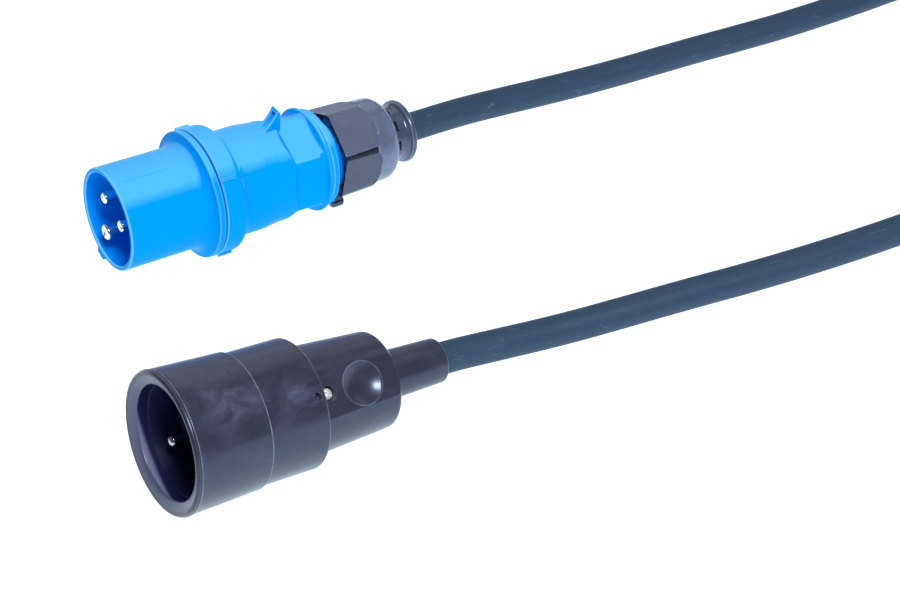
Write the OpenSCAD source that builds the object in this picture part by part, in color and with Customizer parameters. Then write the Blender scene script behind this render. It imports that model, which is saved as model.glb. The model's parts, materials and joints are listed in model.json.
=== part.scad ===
// Power adapter cable: a three-pin industrial plug, a rubber trailing socket with a male earth pin,
// and one rubber-sheathed cable between them. Millimetres. +Z is up and the lead lies on z = 0.
// Both connectors lie with their axes along +X, mouth first, and tip back on to their rear rims.
// Lengths along an axis count from that connector's mouth. Face angles are read looking into a
// mouth, counter-clockwise from the right.

/* [Plug shroud] */
// Outer diameter of the shroud
shroud_d = 45.8; // [42:0.2:49]
// Wall of the shroud
shroud_wall = 2.1; // [1.6:0.1:2.8]
// Depth of the shroud, from its mouth to the pin base
shroud_depth = 38; // [36:0.5:39]
// Thickness of the pin base
pin_base_t = 7; // [6:0.5:8]
// Width of the key rib
key_w = 6; // [4:0.5:8]
// Height of the key rib above the shroud
key_h = 3; // [1.5:0.1:3.2]
// Diameter of the flange and of the collar behind it
collar_d = 57.2; // [55:0.2:60]
// Distance from the mouth to the seam behind the flange
seam_at = 42.2; // [41.5:0.1:43]
// Width of the seam's groove
seam_gap = 0.7; // [0.4:0.1:1]

/* [Plug pins] */
// Radius of the circle that the pins stand on
pin_circle_r = 9.2; // [8.8:0.1:9.5]
// Diameter of the line and neutral pins
pin_d = 5; // [4.6:0.1:5.4]
// Diameter of the earth pin
earth_pin_d = 7; // [6.6:0.1:7.4]
// Set-back of the line and neutral tips behind the mouth
pin_setback = 1.4; // [1:0.1:4]
// Set-back of the earth tip behind the mouth
earth_setback = 0.3; // [0.2:0.1:1]
// Face angle of the earth pin and the key rib
earth_face_angle = 251; // [240:1:262]

/* [Plug housing] */
// Diameter of the housing behind the collar
housing_d = 48; // [47:0.2:49.6]
// Distance between opposite wrench flats
wrench_flats = 41.4; // [40.4:0.2:42.4]
// Diameter of the rear flange
rear_flange_d = 47.8; // [46.4:0.2:48.4]
// Distance from the mouth to the rear flange's back
rear_flange_end = 99.6; // [98:0.2:101]
// Height of the lid-catch fin above the housing
fin_h = 8; // [6:0.1:8.4]
// Thickness of the lid-catch fin
fin_t = 5.4; // [4:0.2:7]
// Height of the collar's ribs
rib_h = 1.1; // [0.6:0.1:1.6]

/* [Gland] */
// Outside diameter of the threaded spout
spout_d = 32.8; // [31.8:0.2:33.4]
// Distance between opposite flats of the nut
nut_flats = 38.4; // [38:0.2:39.4]
// Distance across the nut's rounded corners
nut_corners = 43; // [42.4:0.2:43.6]
// Length of the nut
nut_l = 33.2; // [32.6:0.2:34.4]
// Outside diameter of the bell mouth's ring
bell_d = 29.4; // [28:0.2:31]

/* [Socket] */
// Outside diameter of the socket at its mouth
socket_d = 57.2; // [56:0.2:58.4]
// Diameter of the opening inside the mouth's lip
socket_bore = 45.6; // [45.2:0.2:46.4]
// Length of the front section, from the mouth to its step
front_l = 33; // [31:0.2:35]
// Distance from the mouth to the band's back
band_end = 59; // [58:0.2:60]
// Diameter of the band
band_d = 53; // [52:0.2:53.6]
// Distance from the mouth to the contact block's face
face_depth = 23; // [22:0.2:24]
// Distance from the mouth to the handle's back
handle_end = 96.6; // [95:0.2:98]
// Diameter of the handle at its back
handle_rear_d = 40; // [39.2:0.2:41]
// Distance from the mouth to the boot's end
boot_end = 126.4; // [120:0.2:132]
// Diameter of the boot's end
boot_end_d = 18.6; // [17.6:0.2:19.4]
// Radius of the thumb dimples
dimple_r = 8.8; // [7:0.2:9.2]
// Depth of the thumb dimples
dimple_depth = 2.4; // [1:0.1:2.5]

/* [Socket contacts] */
// Distance between the line and neutral contacts
contact_spacing = 19; // [18.6:0.1:19.4]
// Diameter of the pins that the contacts take
mate_pin_d = 4.8; // [4.6:0.1:5]
// Distance of the earth pin from the middle
socket_earth_offset = 10; // [9.6:0.1:10.4]
// Length of the earth pin in front of the contact block
socket_earth_l = 15; // [13:0.5:16]

/* [Cable] */
// Outside diameter of the cable
cable_d = 13.5; // [12.5:0.1:13.6]
// Diameter of an insulated core
core_d = 3.6; // [3:0.1:3.8]

/* [Layout] */
// Distance between the two connectors' axes on the floor
axis_spacing = 134.7; // [110:0.1:160]
// How far the socket's mouth lies ahead of the plug's
socket_lead = 46.8; // [30:0.1:60]

/* [Hidden] */
$fn = 64;
// Clearance between pieces that are assembled
fit = 0.15;
// Clearance between pieces that turn or slide on each other
run = 0.35;

// Rounding and step sizes that several profiles share
edge = 0.5;
cut = 1;

shroud_r = shroud_d / 2;
shroud_in = shroud_r - shroud_wall;
collar_r = collar_d / 2;
housing_r = housing_d / 2;
flat_r = wrench_flats / 2;
cable_r = cable_d / 2;
cable_bore = cable_r + fit;

// Flange: a concave fillet climbs from the shroud to a rounded rim
flange_fillet = 5.4;
flange_rim = 0.9;
flange_t = 3.2;
flange_face = seam_at - flange_t;

// Spigot behind the flange, which the housing slides on to
spigot_wall = 2.6;
spigot_step = 3.9;
spigot_l = 10;
spigot_r = collar_r - spigot_step;
spigot_end = seam_at + spigot_l;
collar_front = seam_at + seam_gap;
collar_round = 3.5;
collar_l = 11;
collar_end = collar_front + collar_l;
collar_fillet = 3;
pin_base_end = shroud_depth + pin_base_t;

// Pins: a shank, a thinner neck, a shoulder behind the base and a terminal barrel behind the retainer
pin_neck = 0.3;
pin_neck_l = 2;
shoulder_t = 3;
shoulder_grow = 1.6;
retainer_t = 3.4;
barrel_grow = 0.9;
barrel_l = 19;
barrel_end = pin_base_end + shoulder_t + barrel_l;
wire_hole_depth = 9;
terminal_at = barrel_end - 5;
screw_r = 1.9;
screw_l = 5.6;
screw_slot = 0.8;
tip_round = 1;
slit_w = 0.7;
slit_l = 7;

// Housing cavity
cavity_r = housing_r - 3.6;
throat_r = flat_r - 3.7;
throat_at = 80;
flat_start = 71;
flat_full = 83;
wrench_face_angle = 64.6;
flange_front = rear_flange_end - 6;
flange_round = 2;
flat_fillet = 1.4;
flange_edge = 1.5;
rear_flange_r = rear_flange_d / 2;
back_ring_r = rear_flange_r - 1;
back_ring_end = rear_flange_end + 3.2;
gland_shoulder = back_ring_end - 4;
seal_seat = back_ring_end + 1.2;
spout_r = spout_d / 2;
spout_bore = spout_r - 3.2;
spout_end = back_ring_end + 19;
rib_w = 1.3;
rib_l = 7;
rib_face_angle = 42;
fin_face_angle = 90;
fin_peak = 82;
fin_back = 83.4;
fin_lean_foot = 40;
fin_lean_top = 62;
fin_wall = 0.9;
fin_groove = 1.8;
fin_sweep = (fin_h + edge) / (cos(fin_lean_foot) - cos(fin_lean_top));

// Gland: seal, clamp, nut and sleeve follow each other along the cable
seal_end = spout_end - 3;
clamp_end = spout_end + 8.6;
clamp_fingers = 8;
clamp_slit = 1.4;
nut_front = back_ring_end + 4.2;
nut_end = nut_front + nut_l;
nut_corner_r = nut_corners / 2;
nut_flat_r = nut_flats / 2;
nut_bore = spout_r + run;
nut_draft = 0.5;
hex_end = nut_front + 17.6;
dome_r = nut_flat_r + 0.2;
dome_at = hex_end + 2.6;
dome_round = 9;
nut_face_angle = 21;
lug_face_angle = nut_face_angle - 62;
lug_r = 2.6;
lug_l = 4.8;
lug_lead = 2.8;
sleeve_collar_r = 14.3;
sleeve_collar_t = 2.8;
sleeve_front = clamp_end + run;
neck_r = 12.4;
neck_bore = neck_r + run;
sleeve_bore = cable_r + run;
bell_r = bell_d / 2;
bell_round = 1.8;
bell_neck = nut_end + 3;
bell_end = bell_neck + 7.4;
bell_mouth_r = bell_r - 3.4;
neck_slots = 8;
neck_slot_w = 4.4;
neck_slot_l = 1.3;

// Socket: the hood's step and lips
socket_r = socket_d / 2;
socket_bore_r = socket_bore / 2;
mouth_round = 2.2;
mouth_slope = 1.6;
mouth_edge = 0.2;
step_h = 0.9;
step_edge = 0.3;
step_fillet = 0.5;
band_r = band_d / 2;
band_round = 1.2;
hood_bore = socket_bore_r - 0.6;
mouth_bore_l = 6.5;
stop_lip = 1.4;
stop_lip_t = 2;
band_hole_r = 1.5;
band_hole_at = band_end - 3.6;
thumb_face_angle = 44;

// Socket: contact block, contacts and earth pin
insert_r = hood_bore - fit;
insert_end = 47;
entry_t = 4;
entry_r = mate_pin_d / 2 + 0.6;
contact_wall = 1.6;
contact_r = mate_pin_d / 2 + contact_wall;
contact_bore = mate_pin_d / 2 + 0.05;
socket_barrel_r = 3.6;
socket_barrel_end = 58;
socket_terminal_at = socket_barrel_end - 4.5;
earth_shoulder_at = face_depth + 8;
line_face_angle = thumb_face_angle + 90;
earth_socket_angle = thumb_face_angle + 180;

// Socket: handle, its bead in the hood, its flats and its boot
handle_front_r = hood_bore - fit;
bead_at = insert_end + 4;
bead_r = 0.5;
handle_rear_r = handle_rear_d / 2;
handle_round = 2.5;
boot_start_r = 10.2;
boot_end_r = boot_end_d / 2;
boot_fillet = 1.2;
thumb_flat_front = 2.2;
thumb_flat_rear = 1.9;
screw_at = band_end + 5.3;
screw_head_r = 2.3;
screw_head_t = 1.6;
fixing_screw_r = 1.4;
dimple_at = 80;

// Cord grip inside the handle
leg_t = 2.5;
leg_w = 8;
leg_in = socket_earth_offset + socket_barrel_r + 2 * fit;
leg_out = leg_in + leg_t;
leg_end = screw_at + 5;
rail_front = leg_end - 4;
terminal_reach = contact_spacing / 2 + core_d / 2 + fit + screw_l;
terminal_room = max(norm([leg_out, leg_w / 2]), norm([terminal_reach, screw_r])) + run;
clamp_room = norm([leg_in + fit, leg_w / 2]) + run;
clamp_room_at = leg_end + run + 3;
grip_front = 78;
grip_end = 86;
clamp_room_end = grip_end + 3;
grip_half = 8.8;
grip_gap = 0.6;
grip_screw_at = 8.6;

// Tip-back: a connector touches the floor with two rounded rims, each a ring of a tube radius
function tip_back(s1, r1, t1, s2, r2, t2) =
    atan((r1 - r2) / (s2 - s1)) + asin((t1 - t2) / norm([s2 - s1, r1 - r2]));
function mouth_height(s1, r1, t1, tilt) = s1 * sin(tilt) + r1 * cos(tilt) + t1;

collar_rim_at = collar_end - collar_round;
collar_rim_r = collar_r - collar_round;
flange_rim_at = rear_flange_end - flange_round;
flange_rim_r = rear_flange_r - flange_round;
plug_tilt = tip_back(collar_rim_at, collar_rim_r, collar_round, flange_rim_at, flange_rim_r, flange_round);
plug_height = mouth_height(collar_rim_at, collar_rim_r, collar_round, plug_tilt);

band_rim_at = band_end - band_round;
band_rim_r = band_r - band_round;
handle_rim_at = handle_end - handle_round;
handle_rim_r = handle_rear_r - handle_round;
socket_tilt = tip_back(band_rim_at, band_rim_r, band_round, handle_rim_at, handle_rim_r, handle_round);
socket_height = mouth_height(band_rim_at, band_rim_r, band_round, socket_tilt);

// The origin is under the middle of the two connectors' box
x_low = -socket_lead + mouth_round * cos(socket_tilt)
    - (socket_r - mouth_round) * sin(socket_tilt) - mouth_round;
x_high = (bell_end - bell_round) * cos(plug_tilt) + (bell_r - bell_round) * sin(plug_tilt) + bell_round;
plug_x = -(x_low + x_high) / 2;
plug_y = axis_spacing / 2 + (socket_r - collar_r) / 2;
socket_x = plug_x - socket_lead;
socket_y = plug_y - axis_spacing;

// Cable route from the plug, and from the coil to the socket, chosen by hand
plug_route = [
    [41.7, 67.35, 24.35], [69.6, 67.35, 21.6], [99.4, 67.35, 18.6], [111.4, 67.4, 17.4], [133.7, 67.8, 14.8],
    [156, 66.9, 12.1], [178.4, 65, 9.8], [201, 62.6, 8.1], [223.6, 59.9, 7.1], [246.4, 56.9, 6.8],
    [269.2, 53.4, 6.8], [291.7, 49.6, 6.8], [315.2, 46, 6.8], [340.2, 43.2, 6.8], [365.7, 41, 6.8],
    [389.2, 39.2, 7], [421, 35.4, 7.5], [455.7, 29.6, 7.8]
];
socket_route = [
    [-21.8, -67.35, 22.9], [1.8, -67.35, 18.7], [27.8, -67.35, 14.1], [38, -67.7, 12.3],
    [57.6, -70.2, 9.6], [76, -73.5, 7.9], [94.2, -77.1, 7], [112.5, -80.9, 6.8], [131.1, -84.8, 6.8],
    [150, -88.9, 6.8], [168.4, -93.1, 6.8], [188.2, -97.2, 6.8], [208.2, -100.9, 6.8], [228.2, -104.2, 6.8],
    [249.2, -107.2, 6.8], [275, -110.2, 6.8], [303, -112.6, 7], [331, -113.8, 8.8], [359, -114, 13],
    [381, -113.8, 18.4], [401, -113.6, 21.6], [421, -113.4, 18.2], [441, -113.3, 11.8], [455, -112.6, 8.8]
];

// Coil of the rest of the cable, on the floor
coil_centre = [442, -48];
coil_r = 72;
coil_lift = 1;
tie_t = 1;
tie_w = 12;

plug_blue = "DodgerBlue";
nut_black = [0.16, 0.16, 0.18];
rubber_black = [0.14, 0.15, 0.19];
cable_slate = [0.2, 0.25, 0.33];
contact_metal = "Silver";

// Points of an arc from one angle to another
function arc(c, r, from, to, n = 6) =
    [for (i = [0:n]) c + r * [cos(from + (to - from) * i / n), sin(from + (to - from) * i / n)]];

// Stand a piece that is built along +Z on a connector's axis
module on_plug() {
    translate([plug_x, plug_y, plug_height]) rotate([0, 90 + plug_tilt, 0]) children();
}

module on_socket() {
    translate([socket_x, socket_y, socket_height]) rotate([0, 90 + socket_tilt, 0]) children();
}

// Turn a piece that is built on the +X side of the axis to a face angle
module at_face(angle) {
    rotate([0, 0, -angle - 90]) children();
}

module revolve(points) {
    rotate_extrude($fn = 96) polygon(points);
}

// A prism whose outline is given as radius and distance along the axis, and which is as thick as t
module rib(points, t) {
    translate([0, t / 2, 0]) rotate([90, 0, 0]) linear_extrude(t) polygon(points);
}

module bar(r, from, to) {
    translate([0, 0, from]) cylinder(r = r, h = to - from);
}

// A tube with flat ends through a list of points
function path_step(p, i) = p[min(i + 1, len(p) - 1)] - p[max(i - 1, 0)];
function ring(p, i, r, sides, up) =
    let (along = path_step(p, i) / norm(path_step(p, i)))
    let (side = cross(along, up) / norm(cross(along, up)))
    let (over = cross(side, along))
    [for (k = [0:sides - 1]) p[i] + r * (cos(360 * k / sides) * side + sin(360 * k / sides) * over)];

module tube(p, r, sides, up) {
    rings = len(p);
    points = [for (i = [0:rings - 1]) each ring(p, i, r, sides, up)];
    walls = [
        for (i = [0:rings - 2], k = [0:sides - 1])
            let (a = i * sides + k, b = i * sides + (k + 1) % sides)
            each [[a, a + sides, b], [b, a + sides, b + sides]]
    ];
    first = [for (k = [0:sides - 1]) k];
    last = [for (k = [sides - 1:-1:0]) (rings - 1) * sides + k];
    polyhedron(points, concat(walls, [first, last]), convexity = 4);
}

// Face angles of the plug's pins, a third of a turn apart
function plug_pin_angle(i) = earth_face_angle + 120 * i;

// Plug

module plug_shroud() {
    lip = shroud_wall / 4;
    profile = concat(
        [[0, shroud_depth], [shroud_in, shroud_depth], [shroud_in, lip]],
        [[shroud_in + lip, 0], [shroud_r - lip, 0], [shroud_r, lip]],
        arc([shroud_r + flange_fillet, flange_face - flange_fillet], flange_fillet, 180, 100),
        arc([collar_r - flange_rim, flange_face + flange_rim], flange_rim, -80, 0, 4),
        arc([collar_r - flange_rim, seam_at - flange_rim], flange_rim, 0, 90, 4),
        [[spigot_r, seam_at], [spigot_r, spigot_end], [spigot_r - spigot_wall, spigot_end]],
        [[spigot_r - spigot_wall, pin_base_end], [0, pin_base_end]]
    );
    color(plug_blue) on_plug() difference() {
        union() {
            revolve(profile);
            at_face(earth_face_angle) intersection() {
                translate([0, -key_w / 2, lip]) cube([shroud_r + key_h, key_w, flange_face - lip]);
                difference() {
                    bar(shroud_r + key_h, 0, flange_face);
                    bar(shroud_r - shroud_wall / 2, -cut, flange_face + cut);
                }
            }
        }
        for (i = [0:2]) at_face(plug_pin_angle(i)) translate([pin_circle_r, 0, 0])
            bar(pin_shank_r(i) - pin_neck + fit / 2, shroud_depth - cut, pin_base_end + cut);
    }
}

module plug_housing() {
    outside = concat(
        [[spigot_r + fit, collar_front], [collar_r - edge, collar_front], [collar_r, collar_front + edge]],
        arc([collar_rim_r, collar_rim_at], collar_round, 0, 78),
        arc([housing_r + collar_fillet, collar_end + collar_fillet], collar_fillet, 258, 180),
        [[housing_r, flange_front], [rear_flange_r, flange_front + 0.1]],
        arc([flange_rim_r, flange_rim_at], flange_round, 0, 90),
        [[back_ring_r - edge, rear_flange_end], [back_ring_r, rear_flange_end + edge]],
        [[back_ring_r, back_ring_end - edge], [back_ring_r - edge, back_ring_end]],
        [[spout_r, back_ring_end], [spout_r, spout_end - edge], [spout_r - edge, spout_end]]
    );
    inside = [
        [spout_bore, spout_end], [spout_bore, seal_seat], [cable_bore + fit, seal_seat],
        [cable_bore + fit, gland_shoulder], [throat_r, gland_shoulder], [throat_r, throat_at],
        [cavity_r, spigot_end + 12], [cavity_r, spigot_end], [spigot_r + fit, spigot_end]
    ];
    flat_cut = concat(
        [[housing_r + cut, flat_start], [flat_r, flat_full]],
        arc([flat_r + flat_fillet, flange_front - flat_fillet], flat_fillet, 180, 90, 4),
        arc([rear_flange_r - flange_edge, flange_front + flange_edge], flange_edge, -90, 0, 4),
        [[housing_r + 4, flange_front + flange_edge], [housing_r + 4, flat_start]]
    );
    fin_top = housing_r + fin_h;
    fin_root = housing_r - 2.2;
    fin_centre = [fin_top + fin_sweep * cos(fin_lean_top), fin_peak - fin_sweep * sin(fin_lean_top)];
    fin_foot = fin_centre[1] + fin_sweep * sin(fin_lean_foot);
    fin = concat(
        [[fin_root, fin_foot]],
        arc(fin_centre, fin_sweep, 180 - fin_lean_foot, 180 - fin_lean_top),
        [[fin_top - 0.8, fin_back - edge], [fin_top - 2, fin_back], [fin_root, fin_back]]
    );
    fin_cut = concat(
        arc(fin_centre, fin_sweep + fin_groove, 180 - fin_lean_foot + 4, 180 - fin_lean_top + 3),
        arc(fin_centre, fin_sweep - cut, 180 - fin_lean_top + 3, 180 - fin_lean_foot + 4)
    );
    color(plug_blue) on_plug() {
        difference() {
            revolve(concat(outside, inside));
            for (i = [0:5]) at_face(wrench_face_angle + 60 * i) rib(flat_cut, housing_d);
        }
        for (i = [0:3]) at_face(rib_face_angle + 90 * i) translate([collar_r - edge, -rib_w / 2, collar_front])
            cube([rib_h + edge, rib_w, rib_l]);
        at_face(fin_face_angle) difference() {
            rib(fin, fin_t);
            rib(fin_cut, fin_t - 2 * fin_wall);
        }
    }
}

function pin_shank_r(i) = i == 0 ? earth_pin_d / 2 : pin_d / 2;
function pin_tip(i) = i == 0 ? earth_setback : pin_setback;

// A plug pin: rounded tip with a slit, shank, shoulder and drilled terminal barrel
module plug_pin(i) {
    r = pin_shank_r(i);
    tip = pin_tip(i);
    barrel_r = r + barrel_grow;
    shoulder_r = r + shoulder_grow;
    shoulder_end = pin_base_end + shoulder_t;
    color(contact_metal) on_plug() at_face(plug_pin_angle(i)) translate([pin_circle_r, 0, 0]) difference() {
        revolve(concat(
            [[0, tip]],
            arc([r - tip_round, tip + tip_round], tip_round, -90, 0, 4),
            [[r, shroud_depth - pin_neck_l], [r - pin_neck, shroud_depth - pin_neck_l + pin_neck]],
            [[r - pin_neck, pin_base_end], [shoulder_r, pin_base_end], [shoulder_r, shoulder_end]],
            [[barrel_r, shoulder_end], [barrel_r, barrel_end], [0, barrel_end]]
        ));
        translate([-slit_w / 2, 0, tip - cut]) cube([slit_w, r + cut, slit_l + cut]);
        bar(core_d / 2 + fit, barrel_end - wire_hole_depth, barrel_end + cut);
        translate([0, 0, terminal_at]) rotate([0, 90, 0]) cylinder(r = screw_r + fit, h = barrel_r + cut);
    }
}

module line_pin() plug_pin(2);
module neutral_pin() plug_pin(1);
module earth_pin() plug_pin(0);

module pin_retainer() {
    from = pin_base_end + shoulder_t;
    color("WhiteSmoke") on_plug() difference() {
        bar(spigot_r - spigot_wall - fit, from, from + retainer_t);
        for (i = [0:2]) at_face(plug_pin_angle(i)) translate([pin_circle_r, 0, 0])
            bar(pin_shank_r(i) + barrel_grow + fit, from - cut, from + retainer_t + cut);
    }
}

// A slotted screw along +X that bottoms on its core
module terminal_screw(from) {
    translate([from, 0, 0]) rotate([0, 90, 0]) difference() {
        cylinder(r = screw_r, h = screw_l);
        translate([-screw_r - cut, -screw_slot / 2, screw_l - screw_slot])
            cube([2 * (screw_r + cut), screw_slot, screw_slot + cut]);
    }
}

module plug_terminal_screws() {
    color(contact_metal) on_plug() for (i = [0:2]) at_face(plug_pin_angle(i))
        translate([pin_circle_r, 0, terminal_at]) terminal_screw(core_d / 2 + fit);
}

// Where core i leaves the sheath, and its way to a terminal at a radius, along an axis
core_ring_r = core_d * 0.62;
function core_way(angle, radius, sheath_end, terminal_end, depth) = [
    for (step = [[0, 0], [0.12, 0.04], [0.34, 0.3], [0.56, 0.72], [0.78, 0.97], [0.92, 1], [1, 1]])
        let (s = sheath_end + step[0] * (terminal_end - sheath_end))
        let (r = core_ring_r + step[1] * (radius - core_ring_r))
        [r * cos(-angle - 90), r * sin(-angle - 90), s],
    [radius * cos(-angle - 90), radius * sin(-angle - 90), terminal_end - depth]
];

plug_sheath_end = 92;
module plug_core(i, shade) {
    angle = plug_pin_angle(i);
    color(shade) on_plug()
        tube(core_way(angle, pin_circle_r, plug_sheath_end - 2 * fit, barrel_end, wire_hole_depth - fit), core_d / 2, 8,
            [sin(angle + 90), cos(angle + 90), 0]);
}

module plug_line_core() plug_core(2, "SaddleBrown");
module plug_neutral_core() plug_core(1, "SteelBlue");
module plug_earth_core() plug_core(0, "YellowGreen");

module gland_seal() {
    color(rubber_black) on_plug() revolve([
        [cable_bore, seal_seat], [spout_bore - fit, seal_seat], [spout_bore - fit, seal_end], [cable_bore, seal_end]
    ]);
}

module gland_clamp() {
    base_end = spout_end;
    color("DimGray") on_plug() difference() {
        revolve([
            [cable_bore, seal_end], [spout_bore - fit, seal_end], [spout_bore - fit, base_end],
            [spout_bore - fit, base_end + 2], [cable_bore + 2.2, clamp_end], [cable_bore, clamp_end]
        ]);
        for (i = [0:clamp_fingers - 1]) rotate([0, 0, 360 * i / clamp_fingers])
            translate([0, -clamp_slit / 2, base_end]) cube([spout_r, clamp_slit, clamp_end]);
    }
}

module gland_nut() {
    dome_end_r = neck_bore + 1;
    outside = concat(
        [[nut_bore, nut_front], [nut_corner_r - edge, nut_front], [nut_corner_r, nut_front + edge]],
        [[nut_corner_r - nut_draft, hex_end], [dome_r, dome_at], [dome_r, nut_end - dome_round]],
        arc([dome_r - dome_round + 2.6, nut_end - dome_round], dome_round - 2.6, 0, 75, 7),
        [[dome_end_r, nut_end]]
    );
    inside = [
        [neck_bore, nut_end], [neck_bore, sleeve_front + sleeve_collar_t + run],
        [sleeve_collar_r + run, sleeve_front + sleeve_collar_t + run],
        [sleeve_collar_r + run, spout_end + 4], [nut_bore, spout_end + 1]
    ];
    color(nut_black) on_plug() {
        intersection() {
            revolve(concat(outside, inside));
            at_face(nut_face_angle) translate([0, 0, nut_front - cut])
                cylinder(r = nut_flat_r / cos(30), h = nut_l + 2 * cut, $fn = 6);
        }
        at_face(lug_face_angle) translate([nut_corner_r + 0.8, 0, nut_front - lug_lead])
            cylinder(r = lug_r, h = lug_l);
    }
}

module bell_mouth_sleeve() {
    collar_back = sleeve_front + sleeve_collar_t;
    flare = bell_r - neck_r;
    profile = concat(
        [[sleeve_bore, sleeve_front], [sleeve_collar_r, sleeve_front], [sleeve_collar_r, collar_back]],
        [[neck_r, collar_back], [neck_r, bell_neck], [bell_r - edge, bell_neck + flare]],
        arc([bell_r - bell_round, bell_end - bell_round], bell_round, 0, 90),
        [[bell_mouth_r, bell_end], [bell_mouth_r - 2, bell_end - 1.6], [sleeve_bore, bell_neck - 1]]
    );
    color(nut_black) on_plug() difference() {
        revolve(profile);
        for (i = [0:neck_slots - 1]) rotate([0, 0, 360 * i / neck_slots])
            translate([neck_r - 2, -neck_slot_w / 2, nut_end + 0.4]) cube([4, neck_slot_w, neck_slot_l]);
    }
}

// Socket

module socket_hood() {
    step_r = band_r + step_h;
    lip_back = face_depth;
    stop_r = hood_bore - stop_lip;
    outside = concat(
        [[socket_bore_r, mouth_slope], [socket_bore_r + edge, mouth_slope - edge]],
        arc([socket_r - mouth_round, mouth_round], mouth_round, -90, -12),
        [[socket_r, mouth_round + mouth_edge], [step_r, front_l - step_edge], [step_r - step_edge, front_l]],
        arc([band_r + step_fillet, front_l + step_fillet], step_fillet, 270, 180, 4),
        arc([band_rim_r, band_rim_at], band_round, 0, 90, 4)
    );
    inside = [
        [hood_bore, band_end], [hood_bore, bead_at + 2 * bead_r], [hood_bore + bead_r + fit, bead_at + bead_r],
        [hood_bore + bead_r + fit, bead_at - bead_r], [hood_bore, bead_at - 2 * bead_r], [hood_bore, lip_back],
        [stop_r, lip_back], [stop_r, lip_back - stop_lip_t], [hood_bore, lip_back - stop_lip_t - 1],
        [hood_bore, mouth_bore_l + 1], [socket_bore_r, mouth_bore_l]
    ];
    color(rubber_black) on_socket() difference() {
        revolve(concat(outside, inside));
        at_face(thumb_face_angle) translate([band_r - 2.4, 0, band_hole_at]) rotate([0, 90, 0])
            cylinder(r = band_hole_r, h = 4);
    }
}

// Places of the socket's contacts: line, neutral, earth
function socket_angle(i) = i == 2 ? earth_socket_angle : line_face_angle + 180 * i;
function socket_radius(i) = i == 2 ? socket_earth_offset : contact_spacing / 2;

module at_contact(i) {
    at_face(socket_angle(i)) translate([socket_radius(i), 0, 0]) children();
}

module socket_insert() {
    color([0.1, 0.1, 0.12]) on_socket() difference() {
        union() {
            bar(insert_r, face_depth, insert_end);
            for (side = [0, 180]) at_face(thumb_face_angle + side) {
                translate([leg_in, -leg_w / 2, insert_end - cut]) cube([leg_t, leg_w, leg_end - insert_end]);
                translate([leg_in - leg_t, -leg_w / 2, rail_front]) cube([leg_t + fit, leg_w, grip_end - rail_front]);
            }
            at_face(thumb_face_angle) intersection() {
                translate([-leg_in, -grip_half, grip_front])
                    cube([2 * leg_in, grip_half - grip_gap, grip_end - grip_front]);
                bar(clamp_room - run, grip_front - cut, grip_end + cut);
            }
        }
        bar(cable_bore, grip_front - cut, grip_end + cut);
        for (i = [0, 1]) at_contact(i) {
            bar(entry_r, face_depth - cut, insert_end);
            bar(contact_r + fit, face_depth + entry_t, insert_end + cut);
        }
        at_contact(2) {
            bar(mate_pin_d / 2 - pin_neck + fit / 2, face_depth - cut, insert_end);
            bar(contact_r + fit, earth_shoulder_at, insert_end + cut);
        }
        for (side = [0, 180]) at_face(thumb_face_angle + side) {
            translate([leg_in - leg_t - cut, 0, screw_at]) rotate([0, 90, 0])
                cylinder(r = fixing_screw_r + fit, h = 3 * leg_t);
            translate([grip_screw_at, 0, (grip_front + grip_end) / 2]) rotate([90, 0, 0])
                cylinder(r = fixing_screw_r + fit, h = 4 * grip_half, center = true);
        }
    }
}

// A terminal barrel behind the block, drilled for its core and its screw
module socket_terminal(i) {
    difference() {
        bar(socket_barrel_r, insert_end - 4, socket_barrel_end);
        bar(core_d / 2 + fit, socket_barrel_end - wire_hole_depth, socket_barrel_end + cut);
        socket_screw_way(i) cylinder(r = screw_r + fit, h = socket_barrel_r + cut);
    }
}

// The terminal screws point outwards, and the earth one sideways, clear of the legs
module socket_screw_way(i) {
    translate([0, 0, socket_terminal_at]) rotate([0, 0, i == 2 ? 90 : 0]) rotate([0, 90, 0]) children();
}

module socket_contact(i) {
    from = face_depth + entry_t;
    color(contact_metal) on_socket() at_contact(i) {
        difference() {
            bar(contact_r, from, insert_end - 4);
            bar(contact_bore, from - cut, insert_end - 5);
            for (turn = [0, 90]) rotate([0, 0, turn]) translate([-contact_r - cut, -slit_w / 2, from - cut])
                cube([2 * (contact_r + cut), slit_w, slit_l]);
        }
        socket_terminal(i);
    }
}

module socket_line_contact() socket_contact(0);
module socket_neutral_contact() socket_contact(1);

module socket_earth_pin() {
    r = mate_pin_d / 2;
    tip = face_depth - socket_earth_l;
    color(contact_metal) on_socket() at_contact(2) {
        revolve(concat(
            [[0, tip]],
            arc([r - tip_round, tip + tip_round], tip_round, -90, 0, 4),
            [[r, face_depth - pin_neck_l], [r - pin_neck, face_depth - pin_neck_l + pin_neck]],
            [[r - pin_neck, earth_shoulder_at], [contact_r, earth_shoulder_at]],
            [[contact_r, insert_end - 4], [0, insert_end - 4]]
        ));
        socket_terminal(2);
    }
}

module socket_terminal_screws() {
    color(contact_metal) on_socket() for (i = [0:2]) at_contact(i)
        translate([0, 0, socket_terminal_at]) rotate([0, 0, i == 2 ? 90 : 0]) terminal_screw(core_d / 2 + fit);
}

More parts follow.
